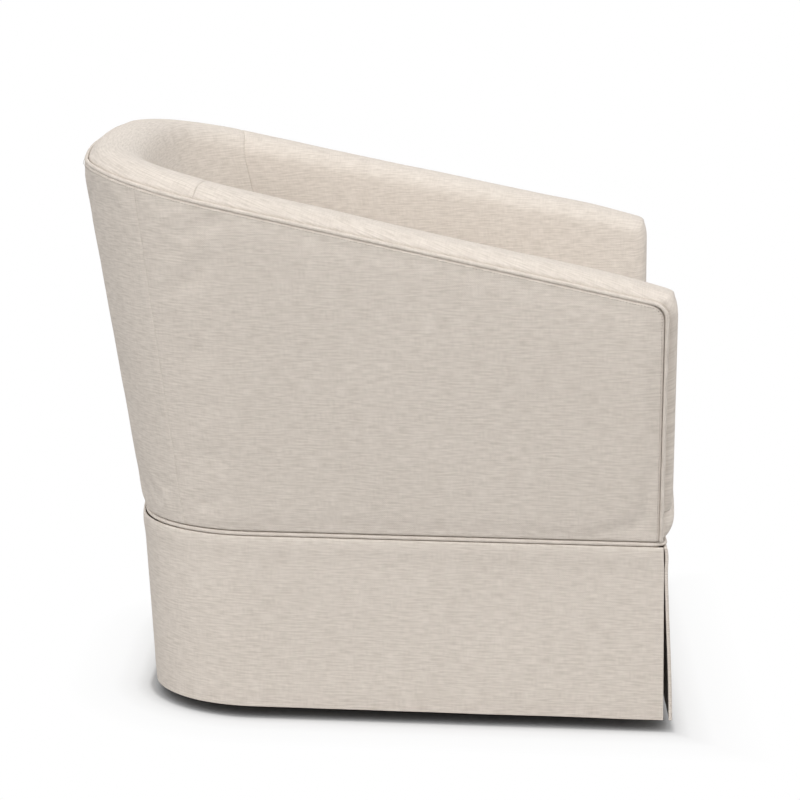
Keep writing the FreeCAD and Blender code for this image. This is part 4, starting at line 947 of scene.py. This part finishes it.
def skirtWeltPath():
    inset = welt["radius"] + welt["rest"]
    height = chair["waistHeight"] - welt["radius"] - welt["gap"]
    level = Level(levelOutline(inset, inset, chair["waistCorner"] - inset), height)
    middle = Vector((0.0, -welt["skirtFront"], height))
    corners = [level.at(place, 0, 0, welt["skirtFront"]) for place in (0, 6)]
    sides = [level.at(1 + 4 * index / 200) for index in range(201)]
    path = [middle] + arcPoints(middle, corners[0], sides[0], welt["skirtTurn"])
    path += sides + arcPoints(sides[-1], corners[1], middle, welt["skirtTurn"])
    return path + [middle + Vector((0.0005, 0.0, 0.0))]


def fromAxis(point):
    # Sideways along the arms, and outwards round the back
    return Vector((point.x, max(point.y - welt["straightRun"], 0.0) * 1.6, 0.0)).normalized()


def stitches(name, path):
    # Short stitches along a seam: one small spindle, copied along the path.
    pitch, long, thick = welt["stitchPitch"], welt["stitch"] / 2, welt["threadRadius"]
    vertices, faces, uv = [], [], []
    for index, (one, two) in enumerate(zip(path[:-1], path[1:])):
        along = (two - one).normalized()
        side = along.cross(fromAxis(one)).normalized()
        out = side.cross(along)
        start = len(vertices)
        middle = one + along * pitch * (0.5 + 0.2 * noise.noise(one * 300))
        vertices += [middle - along * long, middle + along * long]
        vertices += [middle + reach * thick for reach in (out, side, -out, -side)]
        uv += [(index * pitch, 0.0)] * 6
        for first, second in ((2, 3), (3, 4), (4, 5), (5, 2)):
            faces += [(start, start + second, start + first), (start + 1, start + first, start + second)]
    obj = meshObject(name, vertices, faces, uv)
    obj.data.materials.append(finishes["thread"])
    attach(obj, "seat")


def welts():
    inset, up = welt["radius"] + welt["rest"], welt["radius"] + welt["gap"] / 2
    obj = tube("rim_welt_cord", evenly(rimPath(inset, up, welt["turn"]), welt["step"]), welt["radius"])
    finishPiece(obj, "seat", "linen", ["rim_welt"], 0)
    below = -welt["stitchDrop"]
    stitches("rim_stitches", evenly(rimPath(-0.0001, below, welt["turn"] - up + below), welt["stitchPitch"]))
    obj = tube("skirt_welt_cord", evenly(skirtWeltPath(), welt["step"]), welt["radius"])
    finishPiece(obj, "seat", "linen", ["skirt_welt"], 0)


welts()
print("welts made")


# The skirt: four lined panels with open kick slits

skirt = {
    "top": 0.2437,
    "hem": 0.015,
    "sideInset": 0.004,
    "backInset": 0.014,
    "thick": 0.0026,
    "frontPlace": 0.3775,
    "frontKick": 0.0105,
    "frontThick": 0.0042,
    "sideStart": 0.0046,
    "slit": 0.0068,
    "sewn": 0.025,
    "rearOut": 0.0030,
    "rearSlit": 2.12,
    "rearHalf": 0.011,
    "wave": 0.0016,
    "hemRoll": 0.0016,
    "hemDip": 0.0010,
    "topSwell": 0.0005,
    "step": 0.0085,
    "edgeSteps": (0.0, 0.001, 0.003, 0.006),
}
hemCorner = chair["waistCorner"] - skirt["backInset"]
hem = Level(levelOutline(skirt["sideInset"], skirt["backInset"], hemCorner), skirt["hem"])
skirtTop = Level(levelOutline(0.0, 0.0, chair["waistCorner"]), skirt["top"])
skirtTall = skirt["top"] - skirt["hem"]
skirtShares = sharesOf(skirtTall, skirt["step"], skirt["edgeSteps"], skirt["edgeSteps"])


def hemLift(share):
    # The hem is turned up inside: a soft roll above its edge.
    down = (1 - share) * skirtTall
    return skirt["hemRoll"] * bump(down - 0.012, 0.012) - skirt["hemDip"] * (1 - roundOff(down, 0.004))


def skirtSheet(name, base, lift, u, thick, flip, node, wide):
    front = raised(base, lift, flip)
    back = front - normalsOf(base, flip) * thick
    obj = closedPad(name, front, back, u, base[:, :, 2], flip)
    finishPiece(obj, "seat", "linen", [node])


def skirtPanel(name, first, last, side, node, seed):
    def at(where, share):
        # The slit at the front corner is sewn shut at its top and widens downwards.
        down = (1 - share) * skirtTall - skirt["sewn"]
        slit = skirt["slit"] * max(down, 0.0) / (skirtTall - skirt["sewn"])
        reach = skirt["frontPlace"] + skirt["frontKick"] * (1 - share) - slit - skirt["sideStart"]
        return hem.at(where, 0, 0, reach).lerp(skirtTop.at(where, 0, 0, reach), share)

    steps = (skirt["step"], skirt["edgeSteps"], skirt["edgeSteps"])
    places, gaps = placesFor(lambda where: at(where, 0.5), first, last, *steps)
    base, lift, u, _ = emptyGrids(len(places), len(skirtShares))
    for i, where in enumerate(places):
        for j, share in enumerate(skirtShares):
            base[i, j] = at(where, share)
            wave = ripple(gaps[i] * 11, seed, share * 1.5) + ripple(gaps[i] * 4, seed + 5, share)
            lift[i, j] = skirt["wave"] * wave * (1 - share) ** 0.8 + hemLift(share)
            lift[i, j] += skirt["topSwell"] * bump(share * skirtTall - 0.020, 0.006)
            lift[i, j] += skirt["rearOut"] * smooth((min(where, 6 - where) - 1.2) / 0.8)
            u[i, j] = gaps[i] * side
    skirtSheet(name, base, lift, u, skirt["thick"], side < 0, node, gaps[-1])


def skirtFront():
    half = -skirtTop.at(0, 0, 0, skirt["frontPlace"]).x
    halfLow = -hem.at(0, 0, 0, skirt["frontPlace"] + skirt["frontKick"]).x
    across = sharesOf(2 * half, skirt["step"], skirt["edgeSteps"], skirt["edgeSteps"])
    base, lift, u, _ = emptyGrids(len(across), len(skirtShares))
    for i, place in enumerate(across):
        for j, share in enumerate(skirtShares):
            x = (2 * place - 1) * (halfLow + (half - halfLow) * share)
            y = -skirt["frontPlace"] - skirt["frontKick"] * (1 - share)
            base[i, j] = (x, y, skirt["hem"] + skirtTall * share)
            wave = ripple(place * 8, 21.0, share * 1.5)
            lift[i, j] = skirt["wave"] * wave * (1 - share) ** 0.8 + hemLift(share)
            u[i, j] = place * 2 * half
    skirtSheet("skirt_front_panel", base, lift, u, skirt["frontThick"], False, "skirt_front", 2 * half)


near, past = skirt["rearSlit"] - skirt["rearHalf"], skirt["rearSlit"] + skirt["rearHalf"]
skirtPanel("skirt_left_panel", 0.0, near, -1, "skirt_side_left", 1.0)
skirtPanel("skirt_right_panel", 6.0, 6 - near, 1, "skirt_side_right", 2.0)
skirtPanel("skirt_back_panel", past, 6 - past, -1, "skirt_back", 3.0)
skirtFront()
print("skirt made")


# The deck under the cushion, and the black cloth under the frame

deck = {
    "padBottom": 0.3072,
    "padTop": 0.3245,
    "clothBottom": 0.3256,
    "clothThick": 0.0010,
    "clothFlat": (0.55, 0.56),
    "clothWave": 0.00005,
    "gap": 0.0008,
    "front": 0.366,
    "steps": 9,
    "dustTop": 0.1032,
    "dustThick": 0.0008,
    "dustInset": 0.0115,
    "dustSag": 0.0012,
    "dustSteps": 8,
    "footSideInset": 0.018,
    "footBackInset": 0.024,
    "boardHalf": 0.2206,
}


def ringAround(level, inset, front, count=44):
    # Points round an outline and straight across its front, as a closed ring
    points = [level.at(6 * index / count, inset, 0, front) for index in range(count + 1)]
    return points + [points[-1].lerp(points[0], index / 12) for index in range(1, 12)]


def wellLevel(height, inset, reach, front):
    # The outline of the well between the inside arms and back at a height.
    share = (height - chair["waistHeight"]) / (chair["rimHeight"] - chair["waistHeight"])
    low, high = (level.at(0, inset, 0, reach) for level in (innerWaist, innerRim))
    rise = (height - chair["waistHeight"]) / (high.z - chair["waistHeight"])
    half = -(low.x + (high.x - low.x) * rise)
    ends = [level.at(3, inset).y for level in (innerWaist, innerRim)]
    back = ends[0] + (ends[1] - ends[0]) * share
    corner = chair["innerCorner"] - inset
    return Level(Outline(half, front, back, corner, chair["innerSweep"], chair["waistFlare"]), height)


def slab(name, ring, levels, slotName, node, wave, seed):
    # A flat padded piece: its sides follow the ring, its faces close towards the middle.
    middle, steps = sum(ring, Vector()) / len(ring), deck["steps"]
    pulls = [(levels[0][0], levels[0][1], step / steps) for step in range(steps - 1, 0, -1)]
    pulls += [(height, pull, 0.0) for height, pull in levels]
    pulls += [(levels[-1][0], levels[-1][1], step / steps) for step in range(1, steps)]
    vertices, uv = [], []
    for height, pull, close in pulls:
        for point in ring:
            x, y = point.lerp(middle, pull).lerp(middle, close).xy
            vertices.append(Vector((x, y, height + wave * ripple(x * 9, y * 9, seed))))
            uv.append((x, y + height))
    obj = meshObject(name, vertices, ringFaces(len(pulls), len(ring)), uv)
    turnOutwards(obj)
    finishPiece(obj, "seat", slotName, [node], 0)
    return obj


def makeDeck():
    low, high = deck["padBottom"], deck["padTop"]
    ring = ringAround(wellLevel(low, 0.0, chair["rimFront"], chair["frameFront"]), deck["gap"], deck["front"])
    levels = ((low, 0.004), (low + 0.002, 0.0), (high - 0.005, 0.0), (high - 0.0012, 0.006), (high, 0.02))
    obj = slab("deck_pad_felt", ring, levels, "foam", "deck_pad", 0.0, 1.0)
    low = deck["clothBottom"]
    ring = ringAround(wellLevel(low, 0.0, chair["rimFront"], chair["frameFront"]), deck["gap"], deck["front"])
    levels = ((low, 0.0), (low + deck["clothThick"], 0.0))
    obj = slab("deck_cloth_lining", ring, levels, "deck_lining", "deck_cloth", deck["clothWave"], 2.0)


def dustCover():
    # Black cloth tacked under the frame, cut out square round the swivel's board
    corner = chair["waistCorner"] - deck["footBackInset"]
    level = Level(levelOutline(deck["footSideInset"], deck["footBackInset"], corner), deck["dustTop"])
    ring = ringAround(level, deck["dustInset"], deck["front"], 96)
    outer = []
    for one, two in zip(ring, ring[1:] + ring[:1]):
        outer.append(one)
        leads = [abs(point.x) - abs(point.y) for point in (one, two)]
        if leads[0] * leads[1] < 0:
            outer.append(one.lerp(two, leads[0] / (leads[0] - leads[1])))
    hole = [point * deck["boardHalf"] / max(abs(point.x), abs(point.y)) for point in outer]
    steps = deck["dustSteps"]
    shares = [step / steps for step in range(steps + 1)]
    vertices, uv = [], []
    for down, inward in ((0.0, shares), (deck["dustThick"], shares[::-1])):
        for share in inward:
            for one, two in zip(outer, hole):
                x, y = one.lerp(two, share).xy
                wave = 0.6 + 0.8 * ripple(x * 12, y * 12, 4.0)
                sag = deck["dustSag"] * math.sin(math.pi * share) * wave
                vertices.append(Vector((x, y, deck["dustTop"] - down - sag)))
                uv.append((x, y))
    faces = ringFaces(2 * (steps + 1), len(outer), closed=True)
    obj = meshObject("dust_cover_cloth", vertices, faces, uv)
    turnOutwards(obj)
    finishPiece(obj, "seat", "dust_cloth", ["dust_cover"], 0)


makeDeck()
dustCover()
print("deck made")


# The loose seat cushion: a boxed case with a crowned top, two welts and a zip at the back

cushion = {
    "gap": 0.003,
    "front": 0.380,
    "bottom": 0.327,
    "corner": 0.078,
    "boxing": 0.112,
    "boxingRound": 0.030,
    "under": 0.007,
    "foot": 0.015,
    "draw": 0.005,
    "crown": 0.0245,
    "crownSteps": (0.0022, 0.0055, 0.010, 0.016, 0.024, 0.034, 0.044, 0.054, 0.063),
    "reach": 0.110,
    "dome": 0.0012,
    "edgeSteps": (0.0, 0.0022, 0.006),
    "around": 196,
    "steps": 16,
    "cap": 0.006,
    "weltRadius": 0.0025,
    "weltLift": 0.0015,
    "zipHalf": 0.170,
    "zipWide": 0.022,
    "zipGap": 0.0002,
    "zipThick": 0.0011,
    "zipRises": (0.0, 0.004, 0.008, 0.0092, 0.0100, 0.0110, 0.0120, 0.0128, 0.014, 0.018, 0.022),
    "tooth": 0.0005,
    "toothPitch": 0.002,
}
cushionLine = wellLevel(cushion["bottom"], cushion["gap"], cushion["front"], cushion["front"]).outline
zipMiddle = cushion["bottom"] + cushion["under"] + cushion["boxing"] / 2


def cushionPath(inset, height):
    # Round the cushion, with its front corners rounded
    level = Level(cushionLine, height)
    front, radius = cushion["front"] - inset, cushion["corner"] - inset
    corners = [level.at(place, inset, 0, front) for place in (0, 6)]
    middle = corners[0].lerp(corners[1], 0.5)
    sides = [level.at(1 + 4 * index / 120, inset, 0, front) for index in range(121)]
    path = [middle] + arcPoints(middle, corners[0], sides[0], radius, 12) + sides
    return path + arcPoints(sides[-1], corners[1], middle, radius, 12) + [middle]


def crownRise(run):
    return cushion["crown"] * np.sqrt(1 - (1 - np.clip(run / cushion["reach"], 0, 1)) ** 2)


def seatCushion():
    count, steps, draw = cushion["around"], cushion["steps"], cushion["draw"]
    base, under, boxing = cushion["bottom"], cushion["under"], cushion["boxing"]
    seam = under + boxing
    levels = [(cushion["foot"], 0.0005), (cushion["foot"] * 0.6, 0.0022), (draw + 0.001, under - 0.0028)]
    first = len(levels) + steps - 1
    for gap in spacing(boxing, 0.010, cushion["edgeSteps"], cushion["edgeSteps"]):
        height = under + gap
        edge = min(height - under, seam - height)
        levels.append((draw * (1 - roundOff(edge, cushion["boxingRound"])), height))
    last = len(levels) + steps - 2
    levels += [(draw + gap, seam + crownRise(gap)) for gap in cushion["crownSteps"]]
    rings = []
    for inset, height in levels:
        path = cushionPath(inset, base + height)
        runs = runsAlong(path)
        rings.append(resample(path, runs, [runs[-1] * index / count for index in range(count)]))
    around, edge, deep = float(runs[-1]), rings[-1], cushion["crownSteps"][-1]
    centre = np.array([0.0, (edge[:, 1].max() + edge[:, 1].min()) / 2, 0.0])
    for step in range(1, steps):
        ring = edge + (centre - edge) * step / steps
        inward = np.linalg.norm((edge - ring)[:, :2], axis=1) + deep
        ring[:, 2] = base + seam + crownRise(inward) + cushion["dome"] * step / steps
        rings.append(ring)
    lower = []
    for step in range(steps - 1, 0, -1):
        ring = rings[0] + (centre - rings[0]) * step / steps
        ring[:, 2] = base + 0.0004
        lower.append(ring)
    stack = lower + rings
    vertices = np.concatenate(stack)
    uv = []
    for row, ring in enumerate(stack):
        for index, (x, y, z) in enumerate(ring):
            onBoxing = first <= row <= last
            uv.append((around * index / count, float(z)) if onBoxing else (float(x), float(y) + 0.7))
    obj = meshObject("seat_cushion_cover", vertices, ringFaces(len(stack), count), uv)
    turnOutwards(obj)

    # The seams, the underside and the cloth behind the zip hold still.
    held = set(range(first * count))
    held.update(row * count + index for row in (first - 1, first, last, last + 1) for index in range(count))
    for index, (x, y, z) in enumerate(vertices):
        if y > 0.15 and abs(x) < cushion["zipHalf"] + 0.01 and abs(z - zipMiddle) < 0.016:
            held.add(index)
    settle(obj, sorted(held), cushion["cap"])
    finishPiece(obj, "cushion", "linen", ["seat_cushion_case", "seat_cushion_core"], 0)

    for label, height in (("lower", under), ("upper", seam)):
        path = evenly(cushionPath(draw - cushion["weltLift"], base + height), welt["step"])
        obj = tube(f"seat_cushion_{label}_welt", path, cushion["weltRadius"])
        finishPiece(obj, "cushion", "linen", ["seat_cushion_welts"], 0)


def zipTape():
    # Two tapes along the back of the boxing, with their teeth along the middle
    half, pitch, rises = cushion["zipHalf"], cushion["toothPitch"], cushion["zipRises"]
    reach = chair["innerSweep"] + cushion["zipGap"]
    low, middle = zipMiddle - cushion["zipWide"] / 2, cushion["zipWide"] / 2
    along = spacing(2 * half, pitch / 4)
    front, _, u, v = emptyGrids(len(along), len(rises))
    back = front.copy()
    for i, gap in enumerate(along):
        angle = math.pi / 2 + (half - gap) / reach
        out = Vector((math.cos(angle), math.sin(angle)))
        for j, rise in enumerate(rises):
            # The upper teeth fit between the lower ones.
            beat = 0.6 + 0.4 * math.cos(2 * math.pi * gap / pitch + 4 * (rise > middle - 0.0005))
            tooth = cushion["tooth"] * bump(rise - middle, 0.0012) * beat
            for grid, far in ((front, cushion["zipThick"] + tooth), (back, 0.0)):
                grid[i, j] = (*(cushionLine.sweepCentre + out * (reach + far)), low + rise)
            u[i, j], v[i, j] = gap, rise
    obj = closedPad("cushion_zip_tape", front, back, u, v, False)
    turnOutwards(obj)
    finishPiece(obj, "cushion", "zip_tape", ["cushion_zip"], 0)


seatCushion()
zipTape()
print("cushion made")


# The frame, the swivel base and the fasteners keep their own shape.

slots = {row["node"]: row["material_slot"] for row in frame["record"]["subparts"]}
for name, node in frame["nodes"].items():
    if not node.hide_render:
        node.data.materials.clear()
        node.data.materials.append(finishes[slots[name]])


# The photographer's white floor, lamps and camera

studio = {
    "aim": (0.0, -0.030, 0.3638),
    "distance": 4.0,
    "yaw": 1.49,
    "elevation": 11.29,
    "lens": 130.6,
    "lamps": (
        ("rearLamp", 1.50, (-0.50, 0.75, 0.55)),
        ("sideLamp", 1.50, (-0.93, -0.30, 0.15)),
        ("frontLamp", 0.90, (0.0, -0.7, 0.7)),
    ),
    "lampSize": 40,
    "skyLow": 0.30,
    "skyHigh": 0.80,
    "floorSize": 80.0,
    "floorSeen": 0.97,
    "floorBounce": 0.50,
    # Painted light on the floor: the distance outside the hem's outline over which white emission covers the
    # chair's shadow, and the ramp of that fade
    "paintedLightReach": 0.12,
    "paintedLightFade": ((0.0, 0.0), (0.05, 0.42), (0.2, 0.74), (0.45, 0.92), (1.0, 1.0)),
}


def seenDirectly(graph):
    # 1 where a ray shows the background: to the camera, or through glass and polish.
    light = graph.nodes.new("ShaderNodeLightPath").outputs
    seen = graph.math("MAXIMUM", light["Is Camera Ray"], light["Is Glossy Ray"])
    return graph.math("MAXIMUM", seen, light["Is Transmission Ray"])


def outsideHem(graph):
    # How far a point of the floor lies outside the hem's outline, which sets how much painted light covers
    # the floor's shadow
    parts = graph.split(graph.add("TexCoord", "Object"))
    flare = math.tan(math.radians(chair["waistFlare"]))
    half = chair["waistHalfWidth"] - skirt["sideInset"] - flare * chair["rimFront"] - hemCorner
    back = chair["waistBack"] - skirt["backInset"] + skirt["rearOut"] - hemCorner
    spread = graph.math("ADD", graph.math("ABSOLUTE", parts["X"]), graph.math("MULTIPLY", parts["Y"], flare))
    squares = []
    for run, limit in ((spread, half), (parts["Y"], back)):
        past = graph.math("MAXIMUM", graph.math("SUBTRACT", run, limit), 0.0)
        squares.append(graph.math("POWER", past, 2.0))
    rounded = graph.math("SUBTRACT", graph.math("SQRT", graph.math("ADD", *squares)), hemCorner)
    ahead = graph.math("MULTIPLY", parts["Y"], -1.0)
    ahead = graph.math("SUBTRACT", ahead, skirt["frontPlace"] + skirt["frontKick"])
    return graph.math("MAXIMUM", rounded, ahead)


def paperMaterial():
    # White paper that throws less light back than it shows. Painted light: away from the hem's outline the
    # camera sees white emission, faded in by distance, which paints over the chair's shadow and leaves only a
    # narrow shadow under the hem.
    material, graph, shader = newMaterial("floorPaper")
    seen = seenDirectly(graph)
    grey = {"Factor": seen, "A": studio["floorBounce"], "B": studio["floorSeen"]}
    graph.feed(shader, {"Base Color": graph.add("Mix", "Result", grey)})
    shader.inputs["Roughness"].default_value = 0.9
    shader.inputs["Specular IOR Level"].default_value = 0.0
    white = graph.add("Emission", "Emission", {"Strength": 1.0})
    # Painted light: white emission is mixed in by the distance outside the hem's outline, fading the chair's
    # shadow to white.
    share = graph.math("DIVIDE", outsideHem(graph), studio["paintedLightReach"])
    paintedLightMask = graph.math("MULTIPLY", graph.ramp(share, *studio["paintedLightFade"]), seen)
    mixed = graph.add("MixShader", "Shader", {"Fac": paintedLightMask, 1: shader.outputs["BSDF"], 2: white})
    graph.links.new(mixed, graph.nodes["Material Output"].inputs["Surface"])
    return material


def makeSky():
    # Bright overhead and dim towards the horizon, so that little light reaches in under the hem
    world = bpy.data.worlds.new("studioWorld")
    bpy.context.scene.world = world
    graph = Graph(world)
    sky = graph.nodes["Background"]
    parts = graph.split(graph.add("TexCoord", "Generated"))
    rise = graph.math("POWER", graph.math("MAXIMUM", parts["Z"], 0.0), 2.0)
    glow = graph.math("ADD", graph.math("MULTIPLY", rise, studio["skyHigh"]), studio["skyLow"])
    white = (1.0, 1.0, 1.0, 1.0)
    graph.feed(sky, {"Color": white, "Strength": glow})
    backdrop = graph.add("Background", "Background", {"Color": white, "Strength": 1.0})
    inputs = {"Fac": seenDirectly(graph), 1: sky.outputs["Background"], 2: backdrop}
    mixed = graph.add("MixShader", "Shader", inputs)
    graph.links.new(mixed, graph.nodes["World Output"].inputs["Surface"])


def makeFloor():
    bpy.ops.object.select_all(action="DESELECT")
    bpy.ops.mesh.primitive_plane_add(size=studio["floorSize"], location=(0.0, 0.0, 0.0))
    floor = bpy.context.active_object
    floor.name = "studioFloor"
    floor.data.materials.append(paperMaterial())
    return floor


def makeLamps(floor):
    # The lamps light the chair alone, so that the floor keeps only the shadow from overhead.
    chairOnly = bpy.data.collections.new("chairOnly")
    chairOnly.objects.link(floor)
    chairOnly.collection_objects[0].light_linking.link_state = "EXCLUDE"
    for name, strength, source in studio["lamps"]:
        data = bpy.data.lights.new(name, "SUN")
        data.energy = strength
        data.angle = math.radians(studio["lampSize"])
        lamp = bpy.data.objects.new(name, data)
        lamp.rotation_mode = "QUATERNION"
        lamp.rotation_quaternion = (-Vector(source)).to_track_quat("-Z", "Y")
        bpy.context.scene.collection.objects.link(lamp)
        lamp.light_linking.receiver_collection = chairOnly


def makeCamera():
    # As the photograph was taken: level with the chair's middle, from its left side
    scene = bpy.context.scene
    yaw, elevation = math.radians(studio["yaw"]), math.radians(studio["elevation"])
    level = math.cos(elevation)
    back = Vector((-math.cos(yaw) * level, -math.sin(yaw) * level, math.sin(elevation)))
    cameraData = bpy.data.cameras.new("photoCamera")
    cameraData.sensor_width = 36.0
    cameraData.lens = studio["lens"]
    cameraData.dof.use_dof = False
    camera = bpy.data.objects.new("photoCamera", cameraData)
    camera.location = Vector(studio["aim"]) + back * studio["distance"]
    camera.rotation_mode = "QUATERNION"
    camera.rotation_quaternion = (-back).to_track_quat("-Z", "Y")
    scene.collection.objects.link(camera)
    scene.camera = camera
    scene.view_settings.view_transform = "Standard"


floor = makeFloor()
makeSky()
makeLamps(floor)
makeCamera()
print("studio made")
